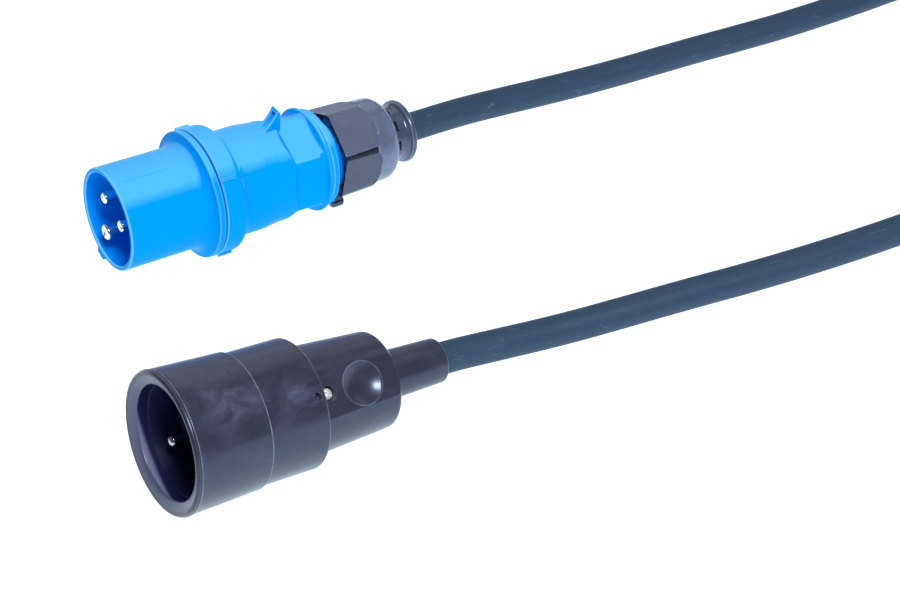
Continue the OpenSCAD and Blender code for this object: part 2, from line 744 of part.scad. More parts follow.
module socket_handle() {
    outside = concat(
        [[handle_front_r, insert_end], [handle_front_r, bead_at - 2 * bead_r]],
        [[handle_front_r + bead_r, bead_at - bead_r], [handle_front_r + bead_r, bead_at + bead_r]],
        [[handle_front_r, bead_at + 2 * bead_r], [handle_front_r, band_end]],
        arc([handle_rim_r, handle_rim_at], handle_round, 4, 90),
        arc([boot_start_r + boot_fillet, handle_end + boot_fillet], boot_fillet, 270, 183, 4),
        [[boot_end_r, boot_end - edge], [boot_end_r - edge, boot_end]]
    );
    inside = [
        [cable_bore, boot_end], [cable_bore, clamp_room_end + 3], [clamp_room, clamp_room_end],
        [clamp_room, clamp_room_at], [terminal_room, clamp_room_at - 3], [terminal_room, insert_end]
    ];
    front_flat = handle_front_r - thumb_flat_front;
    rear_flat = handle_rear_r - thumb_flat_rear;
    flat_cut = [
        [front_flat, band_end + edge], [rear_flat, handle_end + cut],
        [handle_front_r + cut, handle_end + cut], [handle_front_r + cut, band_end + edge]
    ];
    flat_here = front_flat + (rear_flat - front_flat) * (dimple_at - band_end) / (handle_end - band_end);
    ball_r = (pow(dimple_r, 2) + pow(dimple_depth, 2)) / (2 * dimple_depth);
    color(rubber_black) on_socket() difference() {
        revolve(concat(outside, inside));
        for (side = [0, 180]) at_face(thumb_face_angle + side) {
            rib(flat_cut, 2 * handle_front_r);
            translate([flat_here + ball_r - dimple_depth, 0, dimple_at]) sphere(r = ball_r, $fn = 96);
            translate([terminal_room - cut, 0, screw_at]) rotate([0, 90, 0])
                cylinder(r = screw_head_r + run, h = 2 * leg_t + cut);
        }
    }
}

module socket_fixing_screws() {
    color(contact_metal) on_socket() for (side = [0, 180]) at_face(thumb_face_angle + side)
        translate([leg_out, 0, screw_at]) rotate([0, 90, 0]) difference() {
            union() {
                cylinder(r = screw_head_r, h = screw_head_t);
                translate([0, 0, -leg_t]) cylinder(r = fixing_screw_r, h = leg_t);
            }
            translate([-screw_head_r - cut, -screw_slot / 2, screw_head_t - screw_slot])
                cube([2 * (screw_head_r + cut), screw_slot, screw_slot + cut]);
        }
}

module cord_clamp_bar() {
    reach = leg_in - leg_t - fit;
    color([0.1, 0.1, 0.12]) on_socket() at_face(thumb_face_angle) difference() {
        translate([-reach, grip_gap, grip_front]) cube([2 * reach, grip_half - grip_gap, grip_end - grip_front]);
        bar(cable_bore, grip_front - cut, grip_end + cut);
        for (side = [-1, 1]) translate([side * grip_screw_at, 0, (grip_front + grip_end) / 2]) rotate([-90, 0, 0]) {
            cylinder(r = fixing_screw_r + fit, h = grip_half + cut);
            translate([0, 0, grip_half - screw_head_t]) cylinder(r = screw_head_r + fit, h = screw_head_t + cut);
        }
    }
}

module cord_clamp_screws() {
    color(contact_metal) on_socket() at_face(thumb_face_angle)
        for (side = [-1, 1]) translate([side * grip_screw_at, 0, (grip_front + grip_end) / 2]) rotate([-90, 0, 0]) {
            translate([0, 0, grip_half - screw_head_t]) cylinder(r = screw_head_r, h = screw_head_t);
            translate([0, 0, -grip_half + 1]) cylinder(r = fixing_screw_r, h = 2 * grip_half - screw_head_t - 1);
        }
}

socket_sheath_end = 76;
module socket_core(i, shade) {
    angle = socket_angle(i);
    color(shade) on_socket()
        tube(core_way(angle, socket_radius(i), socket_sheath_end - 2 * fit, socket_barrel_end, wire_hole_depth - fit),
            core_d / 2, 8, [sin(angle + 90), cos(angle + 90), 0]);
}

module socket_line_core() socket_core(0, "SaddleBrown");
module socket_neutral_core() socket_core(1, "SteelBlue");
module socket_earth_core() socket_core(2, "YellowGreen");

// Cable

cable_sides = 12;
module cable_plug_run() {
    color(cable_slate) tube(plug_route, cable_r, cable_sides, [0, 0, 1]);
}

module cable_socket_run() {
    color(cable_slate) tube(socket_route, cable_r, cable_sides, [0, 0, 1]);
}

module coil_section() {
    corner = cable_r / 2;
    polygon(concat(
        arc([coil_r + cable_d - corner, coil_lift + corner], corner, -90, 0, 4),
        arc([coil_r + cable_d - corner, coil_lift + cable_d - corner], corner, 0, 90, 4),
        arc([coil_r - cable_d + corner, coil_lift + cable_d - corner], corner, 90, 180, 4),
        arc([coil_r - cable_d + corner, coil_lift + corner], corner, 180, 270, 4)
    ));
}

module cable_coil() {
    color(cable_slate) translate(coil_centre) rotate_extrude($fn = 96) coil_section();
}

module coil_tie() {
    inner_w = 2 * cable_d + 2 * fit;
    inner_h = cable_d + fit;
    color(nut_black) translate([coil_centre[0] + coil_r, coil_centre[1] - tie_w / 2, 0]) difference() {
        translate([-inner_w / 2 - tie_t, 0, 0]) cube([inner_w + 2 * tie_t, tie_w, inner_h + 2 * tie_t]);
        translate([-inner_w / 2, -cut, tie_t]) cube([inner_w, tie_w + 2 * cut, inner_h]);
    }
}

plug_shroud();
plug_housing();
line_pin();
neutral_pin();
earth_pin();
pin_retainer();
plug_terminal_screws();
gland_seal();
gland_clamp();
gland_nut();
bell_mouth_sleeve();
plug_line_core();
plug_neutral_core();
plug_earth_core();
socket_hood();
socket_insert();
socket_earth_pin();
socket_line_contact();
socket_neutral_contact();
socket_terminal_screws();
socket_handle();
socket_fixing_screws();
cord_clamp_bar();
cord_clamp_screws();
socket_line_core();
socket_neutral_core();
socket_earth_core();
cable_plug_run();
cable_coil();
cable_socket_run();
coil_tie();
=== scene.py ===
"""Dresses the packed power adapter lead: a round three-pin plug, a trailing socket and their cable.

Run it as a script in Blender. Every piece is built round the axis of its connector, in metres, in the
frame of the packed model: s is the distance behind the connector's mouth, r the distance from its axis,
and a face angle is read looking into the mouth, anticlockwise from the right.
"""

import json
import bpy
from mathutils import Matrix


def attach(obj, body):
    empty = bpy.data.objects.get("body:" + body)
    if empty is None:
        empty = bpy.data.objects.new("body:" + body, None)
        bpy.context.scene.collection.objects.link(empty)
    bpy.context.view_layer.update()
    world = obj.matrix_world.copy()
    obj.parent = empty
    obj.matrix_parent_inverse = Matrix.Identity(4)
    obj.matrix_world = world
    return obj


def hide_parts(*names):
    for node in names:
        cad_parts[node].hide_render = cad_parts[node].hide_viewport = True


bl_info = {
    "name": "Power adapter lead",
    "version": (1, 0, 0),
    "blender": (4, 5, 0),
    "location": "View3D > Sidebar > Lead",
    "description": "Builds the plug, socket and cable of a power adapter lead",
    "category": "Object",
}

from contextlib import contextmanager
from math import atan2, cos, hypot, pi, radians, sin, sqrt, tau

import bmesh
import bpy
import numpy as np
from bpy.props import FloatProperty, FloatVectorProperty, IntProperty, PointerProperty
from mathutils import Matrix, Vector

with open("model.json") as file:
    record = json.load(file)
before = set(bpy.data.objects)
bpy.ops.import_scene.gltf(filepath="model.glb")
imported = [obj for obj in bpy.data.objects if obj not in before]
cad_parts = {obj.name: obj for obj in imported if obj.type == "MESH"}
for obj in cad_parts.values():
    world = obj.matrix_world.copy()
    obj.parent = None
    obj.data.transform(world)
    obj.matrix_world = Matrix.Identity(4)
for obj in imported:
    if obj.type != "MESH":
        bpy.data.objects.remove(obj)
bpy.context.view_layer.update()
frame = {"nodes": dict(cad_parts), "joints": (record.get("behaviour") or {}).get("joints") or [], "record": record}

MM = 0.001

# Places on the axes where the packed model has a joint or a pair of mounts
GLAND_TURN_AT = 114.4 * MM
CONTACT_BORE_AT = 34.5 * MM


class ConnectorAxis:
    """The line through a connector, from its mouth to its cable."""

    right = Vector((0, -1, 0))

    def __init__(self, known_point, known_s, along):
        self.along = Vector(along).normalized()
        self.origin = Vector(known_point) - self.along * known_s
        self.up = self.right.cross(self.along)

    def outward(self, angle):
        """The direction away from the axis at a face angle in degrees."""
        return self.right * cos(radians(angle)) + self.up * sin(radians(angle))

    def point(self, s, r=0.0, angle=0.0):
        return self.origin + self.along * s + self.outward(angle) * r

    def ring(self, s, radii, angles):
        """A circle of points, as rows of an array, with a radius for each angle in radians."""
        across = np.outer(radii * np.cos(angles), self.right) + np.outer(radii * np.sin(angles), self.up)
        return np.array(self.origin + self.along * s) + across

    def basis(self, s, angle):
        """Axes at a place on the line: x outward at the face angle, z along the line."""
        x, z = self.outward(angle), self.along
        rotation = Matrix((x, z.cross(x), z)).transposed().to_4x4()
        return Matrix.Translation(self.point(s)) @ rotation

    def measure(self, place):
        """A place's s, its r and its face angle in radians."""
        away = place - self.origin
        across, over = away.dot(self.right), away.dot(self.up)
        return away.dot(self.along), hypot(across, over), atan2(over, across)


def named(rows, name):
    return next(row for row in rows if row["name"] == name)


def plug_axis():
    turn = named(frame["joints"], "gland_turn")
    return ConnectorAxis(turn["pos_m"], GLAND_TURN_AT, turn["axis"])


def socket_axis():
    mounts = frame["record"]["mounts"]
    line, neutral = named(mounts, "line_contact_bore"), named(mounts, "neutral_contact_bore")
    middle = (Vector(line["pos_m"]) + Vector(neutral["pos_m"])) / 2
    return ConnectorAxis(middle, CONTACT_BORE_AT, -Vector(line["axis"]))


PLUG = plug_axis()
SOCKET = socket_axis()


def length(name, description, millimetres):
    return FloatProperty(name=name, description=description, default=millimetres * MM, min=0, unit="LENGTH")


def face_angle(name, description, default):
    return FloatProperty(name=name, description=description, default=default)


def brightness(name, description, default):
    return FloatProperty(name=name, description=description, default=default, min=0)


def colour(name, description, default):
    return FloatVectorProperty(
        name=name, description=description, default=default, min=0, max=1, size=3, subtype="COLOR"
    )


class PlugSizes(bpy.types.PropertyGroup):
    """Sizes of the plug"""

    shroud_radius: length("Shroud radius", "Outer radius of the shroud", 22.9)
    shroud_wall: length("Shroud wall", "Thickness of the shroud", 2.1)
    shroud_depth: length("Shroud depth", "From the mouth to the pin base", 38)
    key_width: length("Key width", "Width of the key rib under the shroud", 6)
    key_height: length("Key height", "Height of the key rib", 3)
    collar_radius: length("Collar radius", "Radius of the flange and the collar", 28.6)
    seam_at: length("Seam", "From the mouth to the seam behind the flange", 42.2)
    seam_gap: length("Seam gap", "Width of the seam's groove", 0.7)
    housing_radius: length("Housing radius", "Radius behind the collar", 24)
    wrench_flat_radius: length("Wrench flat", "From the axis to a wrench flat", 20.3)
    flange_radius: length("Rear flange radius", "Radius of the rear flange", 23.9)
    flange_end: length("Rear flange end", "From the mouth to the rear flange's back", 99.6)
    fin_height: length("Fin height", "Height of the lid catch above the housing", 8)
    fin_width: length("Fin width", "Thickness of the lid catch", 5.4)
    pin_circle: length("Pin circle", "Radius of the circle that the pins stand on", 9.2)
    pin_radius: length("Pin radius", "Radius of the line and neutral pins", 2.5)
    earth_pin_radius: length("Earth pin radius", "Radius of the earth pin", 3.5)
    earth_angle: face_angle("Earth angle", "Face angle of the earth pin and the key, degrees", 251)


class GlandSizes(bpy.types.PropertyGroup):
    """Sizes of the cable gland"""

    spout_radius: length("Spout radius", "Outer radius of the threaded spout", 16.4)
    thread_pitch: length("Thread pitch", "Travel of the nut in one turn", 3)
    nut_flat_radius: length("Nut flat", "From the axis to a flat of the nut", 19.2)
    nut_corner_radius: length("Nut corner", "From the axis to a rounded corner", 21.5)
    nut_front: length("Nut front", "From the mouth to the nut's front", 107.8)
    nut_end: length("Nut end", "From the mouth to the nut's back", 140.2)
    neck_radius: length("Neck radius", "Radius of the bell mouth's neck", 12.4)
    bell_radius: length("Bell radius", "Radius of the bell mouth's ring", 14.7)
    bell_end: length("Bell end", "From the mouth to the bell mouth's end", 150.6)
    slots: IntProperty(name="Slots", description="Openings round the bell mouth's neck", default=8, min=0)


class SocketSizes(bpy.types.PropertyGroup):
    """Sizes of the trailing socket"""

    mouth_radius: length("Mouth radius", "Outer radius at the mouth", 28.6)
    bore_radius: length("Bore radius", "Radius of the opening", 22.8)
    front_length: length("Front length", "From the mouth to the step", 33)
    band_radius: length("Band radius", "Radius of the band behind the step", 26.5)
    band_end: length("Band end", "From the mouth to the band's back", 59)
    face_depth: length("Face depth", "From the mouth to the contact block's face", 23)
    handle_front_radius: length("Handle front", "Radius of the handle at the band", 22.05)
    handle_rear_radius: length("Handle rear", "Radius of the handle at its back", 20)
    handle_end: length("Handle end", "From the mouth to the handle's back", 96.6)
    boot_start_radius: length("Boot start", "Radius of the boot at the handle", 10.2)
    boot_end_radius: length("Boot end radius", "Radius of the boot's end", 9.3)
    boot_end: length("Boot end", "From the mouth to the boot's end", 126.4)
    thumb_angle: face_angle("Thumb angle", "Face angle of the flat with the thumb dimple, degrees", 44)
    dimple_radius: length("Dimple radius", "Radius of the thumb dimple", 8.8)
    dimple_depth: length("Dimple depth", "Depth of the thumb dimple", 2.4)
    dimple_at: length("Dimple place", "From the mouth to the dimple's middle", 80)
    screw_at: length("Screw place", "From the mouth to the fixing screw", 64.3)
    earth_pin_radius: length("Earth pin radius", "Radius of the male earth pin", 2.4)


class CableSizes(bpy.types.PropertyGroup):
    """Sizes of the cable and its coil"""

    diameter: length("Diameter", "Outside diameter of the cable", 13.5)
    real_length: length("Length", "Length of the cable between its stripped ends", 1550)
    coil_radius: length("Coil radius", "Radius of the coil at the middle of its turns", 72)
    coil_height: length("Coil height", "Height of the coiled cable's middle", 7.75)
    strap_width: length("Strap width", "Width of the strap round the coil", 12)
    strap_thickness: length("Strap thickness", "Thickness of the strap", 1)


class LeadColours(bpy.types.PropertyGroup):
    """Colours of the lead's finishes"""

    shell_blue: colour("Shell blue", "Moulded plastic of the plug", (0.0, 0.335, 1.0))
    # Painted shade: the darker blue inside the shroud stands for the shade there
    shell_painted_shade: colour("Shell deep", "The plug's unpolished plastic inside the shroud", (0.0, 0.3, 1.0))
    # Painted sheen: the colour of faces turned up, standing for the light from above
    shell_painted_sheen: colour("Shell pale", "The plug's plastic where it faces up", (0.085, 0.5, 1.0))
    # Painted highlights: the colour along the plug's rims and edges
    shell_painted_highlight: colour("Shell edge", "The plug's plastic along its edges", (0.3, 0.8, 1.0))
    nut_black: colour("Nut black", "Grained plastic of the gland nut's flats", (0.075, 0.09, 0.145))
    nut_gloss: colour("Nut gloss", "Polished plastic of the gland nut", (0.008, 0.009, 0.016))
    bell_black: colour("Bell black", "Smooth plastic of the bell mouth", (0.06, 0.074, 0.12))
    rubber_black: colour("Rubber black", "Rubber of the socket", (0.026, 0.029, 0.052))
    # Painted sheen on the upper back side, standing for a bright back wall's reflection
    rubber_painted_sheen: colour("Rubber dust", "Dust on the rubber's upper side", (0.12, 0.126, 0.19))
    # Pale bloom, also used for painted sheen, painted light on the lip and the painted light pool inside the mouth
    rubber_bloom_and_sheen: colour("Rubber bloom", "Pale bloom on the rubber", (0.11, 0.12, 0.2))
    # Worn edges, partly painted highlights
    rubber_edge_wear_and_highlight: colour("Rubber edge", "Worn edges of the rubber", (0.26, 0.3, 0.42))
    sheath: colour("Sheath", "Rubber of the cable", (0.028, 0.058, 0.11))
    sheath_scuff: colour("Sheath scuff", "Scuffs on the cable", (0.13, 0.18, 0.26))
    nickel: colour("Nickel", "Plating of pins and screws", (0.92, 0.92, 0.91))
    copper: colour("Copper", "Bare metal of the earth pin", (0.8, 0.42, 0.36))


class StageLook(bpy.types.PropertyGroup):
    """Camera and light"""

    camera_place: FloatVectorProperty(
        name="Camera place", description="Where the camera stands", default=(-0.307, -0.5624, 0.5659),
        unit="LENGTH",
    )
    camera_pitch: FloatProperty(
        name="Pitch", description="Camera elevation", default=radians(41), subtype="ANGLE"
    )
    camera_yaw: FloatProperty(name="Yaw", description="Camera turn", default=radians(-34.6), subtype="ANGLE")
    lens: FloatProperty(name="Lens", description="Focal length in millimetres", default=80)
    floor_colour: colour("Floor", "Colour of the lit floor", (0.77, 0.9, 1))
    floor_light: brightness("Floor light", "Brightness of the lit floor", 1.6)
    room_light: brightness("Room", "Brightness of the room", 0.12)
    overhead_light: brightness("Overhead", "Brightness of the big softbox", 0.8)
    key_light: brightness("Key", "Brightness of the small softbox", 50)
    side_light: brightness("Side", "Brightness of the softbox at the cable's side", 0.6)
    light_colour: colour("Light", "Colour of the softboxes", (0.9, 0.95, 1))


# Mesh builders


def arc(centre_s, centre_r, radius, start, end, steps=8):
    """Places (s, r) on an arc; 0 degrees points away from the axis, and 90 towards the cable."""
    turns = [radians(start + (end - start) * i / steps) for i in range(steps + 1)]
    return [(centre_s + radius * sin(a), centre_r + radius * cos(a)) for a in turns]


def even(start, end, step):
    """Places from start to end, both included, about a step apart."""
    count = max(1, round(abs(end - start) / step))
    return [start + (end - start) * i / count for i in range(count + 1)]


def soft_min(a, b, blend):
    """The smaller of two values, with a rounded change from one to the other."""
    h = np.clip(0.5 + 0.5 * (b - a) / blend, 0, 1)
    return b + (a - b) * h - blend * h * (1 - h)


def smooth_step(low, high, x):
    t = np.clip((x - low) / (high - low), 0, 1)
    return t * t * (3 - 2 * t)


def turned_from(angles, face):
    """How far each angle is from a face angle in degrees, from minus to plus half a turn, in radians."""
    return (angles - radians(face) + pi) % tau - pi


def polygon_radius(angles, first_face, sides, flat_radius):
    """Distance from the axis to a regular polygon whose first flat faces first_face degrees."""
    part = tau / sides
    off = (angles - radians(first_face) + part / 2) % part - part / 2
    return flat_radius / np.cos(off)


def straight(r, start, end, step):
    """Places (s, r) about a step apart, at one distance from the axis."""
    return [(s, r) for s in even(start, end, step)]


def slope(first, last, start, end, step):
    """Places (s, r) about a step apart, on the line from a first place to a last."""
    return [(s, np.interp(s, *zip(first, last))) for s in even(start, end, step)]


JOIN_WITHIN = 0.002 * MM
BEVEL_STEPS = 3
CUTTER_SIDES = 48
EDGE_REACH = 0.35 * MM


def add_object(name, mesh):
    piece = bpy.data.objects.new(name, mesh)
    bpy.context.scene.collection.objects.link(piece)
    return piece


def object_from(work, name):
    """An object with the shape of a bmesh, which is freed."""
    mesh = bpy.data.meshes.new(name)
    work.to_mesh(mesh)
    work.free()
    return add_object(name, mesh)


@contextmanager
def reshaped(piece):
    """A bmesh of a piece's shape, which the piece takes back when the work is done."""
    work = bmesh.new()
    work.from_mesh(piece.data)
    yield work
    work.to_mesh(piece.data)
    work.free()


def mesh_object(name, vertices, faces, material, sharp=40, marks=None):
    mesh = bpy.data.meshes.new(name)
    mesh.from_pydata([tuple(v) for v in vertices], [], faces)
    if marks is not None:
        mesh.attributes.new("edge", "FLOAT", "POINT").data.foreach_set("value", marks)
    mesh.materials.append(material)
    piece = add_object(name, mesh)
    finish_mesh(piece, sharp)
    return piece


def finish_mesh(piece, sharp=40):
    """Joins doubled corners, turns the faces outward and smooths all but sharp edges."""
    with reshaped(piece) as work:
        bmesh.ops.remove_doubles(work, verts=work.verts, dist=JOIN_WITHIN)
        bmesh.ops.recalc_face_normals(work, faces=work.faces)
    piece.data.shade_smooth()
    piece.data.set_sharp_from_angle(angle=radians(sharp))


def skin(name, axis, profile, material, shape=None, turns=192, sharp=40):
    """A closed skin that follows a profile of places (s, r) round an axis.

    shape(s, r, angles) may give each ring a radius that changes with its angles.
    """
    angles = np.linspace(0, tau, turns, endpoint=False)
    rings = []
    for s, r in profile:
        radii = np.full(turns, r) if shape is None else shape(s, r, angles)
        rings.append(axis.ring(s, radii, angles))
    count = len(profile)
    first, side = np.meshgrid(np.arange(count), np.arange(turns), indexing="ij")
    after, beside = (first + 1) % count, (side + 1) % turns
    corners = [first * turns + side, first * turns + beside, after * turns + beside, after * turns + side]
    faces = np.stack(corners, -1).reshape(-1, 4).tolist()
    marks = np.repeat(rim_marks(profile), turns)
    return mesh_object(name, np.concatenate(rings), faces, material, sharp, marks)


def drill(piece, cutter):
    """Takes the cutter's shape out of the piece, and the cutter out of the scene."""
    modifier = piece.modifiers.new("drill", "BOOLEAN")
    modifier.object, modifier.operation, modifier.solver = cutter, "DIFFERENCE", "EXACT"
    bpy.context.view_layer.update()
    evaluated = piece.evaluated_get(bpy.context.evaluated_depsgraph_get())
    cut = bpy.data.meshes.new_from_object(evaluated)
    piece.modifiers.remove(modifier)
    old, piece.data = piece.data, cut
    bpy.data.meshes.remove(old)
    bpy.data.objects.remove(cutter)
    finish_mesh(piece)


def cylinder_along_x(place, start, end, radius, end_radius=None):
    """A plain or tapered cutter along the x of a place, such as ConnectorAxis.basis gives."""
    work = bmesh.new()
    turn = Matrix.Translation(((start + end) / 2, 0, 0)) @ Matrix.Rotation(pi / 2, 4, "Y")
    bmesh.ops.create_cone(
        work, cap_ends=True, segments=CUTTER_SIDES, radius1=radius, depth=end - start, matrix=place @ turn,
        radius2=radius if end_radius is None else end_radius,
    )
    return object_from(work, "cutter")


def round_edges(work, edges, radius):
    bmesh.ops.bevel(work, geom=edges, offset=radius, segments=BEVEL_STEPS, affect="EDGES", profile=0.5)


def slab(place, low, high, bevel=0.0):
    """A box between two corners in the axes of a place, with rounded edges."""
    work = bmesh.new()
    middle, size = (Vector(low) + Vector(high)) / 2, Vector(high) - Vector(low)
    bmesh.ops.create_cube(work, size=1, matrix=Matrix.Translation(middle) @ Matrix.Diagonal((*size, 1)))
    if bevel:
        round_edges(work, work.edges[:], bevel)
    work.transform(place)
    return object_from(work, "slab")


def prism(place, outline, width, bevel):
    """A plate with an outline of places (s, r) and a width, with rounded edges."""
    work = bmesh.new()
    sides = [[work.verts.new((r, y, s)) for s, r in outline] for y in (-width / 2, width / 2)]
    work.faces.new(sides[0])
    work.faces.new(sides[1][::-1])
    for i in range(len(outline)):
        j = (i + 1) % len(outline)
        work.faces.new((sides[0][i], sides[0][j], sides[1][j], sides[1][i]))
    bmesh.ops.recalc_face_normals(work, faces=work.faces)
    round_edges(work, [edge for edge in work.edges if edge.calc_face_angle(0) > radians(25)], bevel)
    work.transform(place)
    return object_from(work, "prism")


def take_in(piece, *others):
    """Adds other meshes to a piece, which was moulded in one with them."""
    with reshaped(piece) as work:
        for other in others:
            work.from_mesh(other.data)
            bpy.data.objects.remove(other)
        for face in work.faces:
            face.material_index = 0
    finish_mesh(piece)


def paint_inner_shade(piece, axis, material, from_s, within):
    """Gives the faces behind a place on the axis, and nearer to it than a radius, a finish of their own: a painted
    shade for the inside.
    """
    piece.data.materials.append(material)
    for polygon in piece.data.polygons:
        s, r, _ = axis.measure(polygon.center)
        polygon.material_index = int(s > from_s and r < within)


def rim_marks(profile):
    """How much of a rim there is at each place of a profile, for painted highlights and wear: its outward turn
    within a short reach.
    """
    places = np.array(profile)
    steps = np.roll(places, -1, 0) - places
    lengths = np.hypot(*steps.T)
    heading = np.arctan2(steps[:, 1], steps[:, 0])
    turns = (heading - np.roll(heading, 1) + pi) % tau - pi
    turns[(lengths < 1e-9) | (np.roll(lengths, 1) < 1e-9)] = 0
    area = np.sum(places[:, 0] * np.roll(places[:, 1], -1) - np.roll(places[:, 0], -1) * places[:, 1])
    run = np.cumsum(lengths) - lengths
    near = np.abs(run[:, None] - run[None, :]) < EDGE_REACH
    return smooth_step(radians(25), radians(65), near @ turns * np.sign(area))


def mark_edges(piece, least, amount=1):
    """Marks the corners on outward edges that turn by a least angle too, such as a hole's or a fin's, for painted
    highlights and wear along them.
    """
    with reshaped(piece) as work:
        layer = work.verts.layers.float.get("edge") or work.verts.layers.float.new("edge")
        for edge in work.edges:
            if edge.calc_face_angle_signed(0) > radians(least):
                for corner in edge.verts:
                    corner[layer] = amount


def put(piece, body, slot, *nodes):
    """Lets a piece stand for packed nodes and move with their body; the slot is not used."""
    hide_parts(*nodes)
    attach(piece, body)


# Finishes


class Finish:
    """A material under construction: a Principled shader and the nodes that feed it."""

    def __init__(self, name, **values):
        self.material = bpy.data.materials.new(name)
        self.material.use_nodes = True
        self.nodes = self.material.node_tree.nodes
        self.shader = self.nodes["Principled BSDF"]
        self.set(**values)

    def feed(self, socket, value):
        """Links another node's output to a socket, or sets the socket to a fixed value."""
        if isinstance(value, bpy.types.NodeSocket):
            self.material.node_tree.links.new(value, socket)
        else:
            socket.default_value = value

    def set(self, **values):
        """Feeds the shader's own sockets, named with underscores for spaces."""
        for name, value in values.items():
            self.feed(self.shader.inputs[name.replace("_", " ")], value)

    def node(self, kind, inputs, **settings):
        """The outputs of a new node with these settings and inputs."""
        node = self.nodes.new("ShaderNode" + kind)
        for name, value in settings.items():
            setattr(node, name, value)
        for name, value in inputs.items():
            self.feed(node.inputs[name], value)
        return node.outputs

    def place(self, stretch=(1, 1, 1), source="Object"):
        """Coordinates of the piece itself, stretched."""
        where = self.node("TexCoord", {})[source]
        return self.node("Mapping", {"Vector": where, "Scale": stretch})["Vector"]

    def noise(self, where, scale, detail=4.0, roughness=0.55, distortion=0.0):
        inputs = {"Vector": where, "Scale": scale, "Detail": detail, "Roughness": roughness}
        return self.node("TexNoise", inputs | {"Distortion": distortion})["Fac"]

    def ramp(self, value, low, high, start=0.0, end=1.0):
        """Maps a value from low..high to start..end and clamps it."""
        inputs = {"Value": value, "From Min": low, "From Max": high, "To Min": start, "To Max": end}
        return self.node("MapRange", inputs)["Result"]

    def mottle(self, where, scale, detail, start=0.0, end=1.0):
        """A noise spread from start to end."""
        return self.ramp(self.noise(where, scale, detail), 0.3, 0.7, start, end)

    def mix(self, amount, first, second):
        """A colour between two, each a fixed colour or another node's output."""
        inputs = {"Factor": amount}
        for index, value in ((6, first), (7, second)):
            inputs[index] = value if isinstance(value, bpy.types.NodeSocket) else (*value, 1)
        return self.node("Mix", inputs, data_type="RGBA")[2]

    def edge(self, amount):
        """How much of an edge there is, for painted highlights and wear, from rim_marks and mark_edges, times an
        amount.
        """
        return self.ramp(self.node("Attribute", {}, attribute_name="edge")["Fac"], 0, 1, 0, amount)

    def facing(self, low, high, direction=(0, 0, 1)):
        """From 0 where the surface faces a direction, upward at first, by less than low to 1 above high."""
        normal = self.node("NewGeometry", {})["Normal"]
        share = self.node("VectorMath", {0: normal, 1: direction}, operation="DOT_PRODUCT")["Value"]
        return self.ramp(share, low, high)

    def near(self, place, full, none):
        """1 within a distance of a place, and 0 beyond a greater one."""
        where = self.node("TexCoord", {})["Object"]
        away = self.node("VectorMath", {0: where, 1: place}, operation="DISTANCE")["Value"]
        return self.ramp(away, full, none, 1, 0)

    def multiply(self, first, second):
        return self.node("Math", {0: first, 1: second}, operation="MULTIPLY")[0]

    def done(self, rgb, rough, *bumps):
        """The material with a colour, a roughness and bumps of noise, each on top of the one before.

        A bump is the noise's place, scale and detail, its depth in millimetres and its strength.
        """
        self.set(Base_Color=rgb, Roughness=rough)
        inputs = {}
        for where, scale, detail, depth, strength in bumps:
            height = self.noise(where, scale, detail)
            inputs |= {"Height": height, "Distance": depth * MM, "Strength": strength}
            inputs["Normal"] = self.node("Bump", inputs)["Normal"]
            self.set(Normal=inputs["Normal"])
        return self.material


def tinted(rgb, factor):
    return tuple(min(1.0, c * factor) for c in rgb)


def shell_blue_finish(name, rgb, pale, edge):
    """Satin moulded plastic: a faint mottle, with a painted sheen on its upper side and painted highlights along
    its edges.
    """
    finish = Finish(name, IOR=1.5, Specular_IOR_Level=0.012, Specular_Tint=(0.3, 0.7, 1, 1))
    where = finish.place()
    body = finish.mix(finish.noise(where, 60, 3), tinted(rgb, 0.96), tinted(rgb, 1.04))
    # Painted sheen: faces turned up take the pale colour, standing for the light from above
    body = finish.mix(finish.facing(0.66, 0.8), body, pale)
    # Painted highlights along the rims and edges
    body = finish.mix(finish.edge(0.65), body, edge)
    return finish.done(body, finish.mottle(where, 160, 4, 0.27, 0.36), (where, 1400, 2, 0.01, 0.3))


def grained_black_finish(name, rgb):
    """Black plastic with a spark-eroded grain, with painted light: paler the more it faces up, palest on the top
    facet, with painted highlights along its edges.
    """
    finish = Finish(name, IOR=1.5, Specular_IOR_Level=0.4)
    where = finish.place()
    mottle = finish.mottle(where, 90, 5)
    low = finish.mix(mottle, tinted(rgb, 0.76), tinted(rgb, 0.98))
    # Painted light: faces turned up are paler
    body = finish.mix(finish.facing(0.3, 0.6), low, finish.mix(mottle, tinted(rgb, 1.08), tinted(rgb, 1.34)))
    # Painted light: the top facet is palest
    body = finish.mix(finish.facing(0.86, 0.92), body, tinted(rgb, 1.9))
    # Painted highlights along the edges
    body = finish.mix(finish.edge(0.6), body, tinted(rgb, 2.6))
    return finish.done(body, finish.mottle(where, 500, 4, 0.5, 0.64), (where, 2200, 3, 0.05, 0.6))


def polished_black_finish(name, rgb, shine, upper=None):
    """Smooth black plastic with a faint flow mottle, perhaps a lighter colour painted on its upper side as painted
    light, and painted highlights along its edges.
    """
    finish = Finish(name, IOR=1.5, Specular_IOR_Level=shine, Specular_Tint=(0.6, 0.75, 1, 1))
    where = finish.place()
    body = finish.mix(finish.mottle(where, 120, 4), tinted(rgb, 0.8), tinted(rgb, 1.2))
    if upper:
        # Painted light: the upper side takes the other, lighter colour
        body = finish.mix(finish.facing(0.6, 0.8), body, upper)
    # Painted highlights along the edges
    body = finish.mix(finish.edge(0.5), body, tinted(rgb, 4))
    return finish.done(body, finish.mottle(where, 300, 4, 0.18, 0.28), (where, 900, 2, 0.006, 0.3))


# Where hands leave bloom on the socket, brightened there into a painted sheen facing the key light: s, r, face
# angle and reach, lengths in millimetres
BLOOM_AND_SHEEN_PLACES = ((18, 28, 60, 14), (29, 27, 55, 8), (48, 26.5, 54, 11))
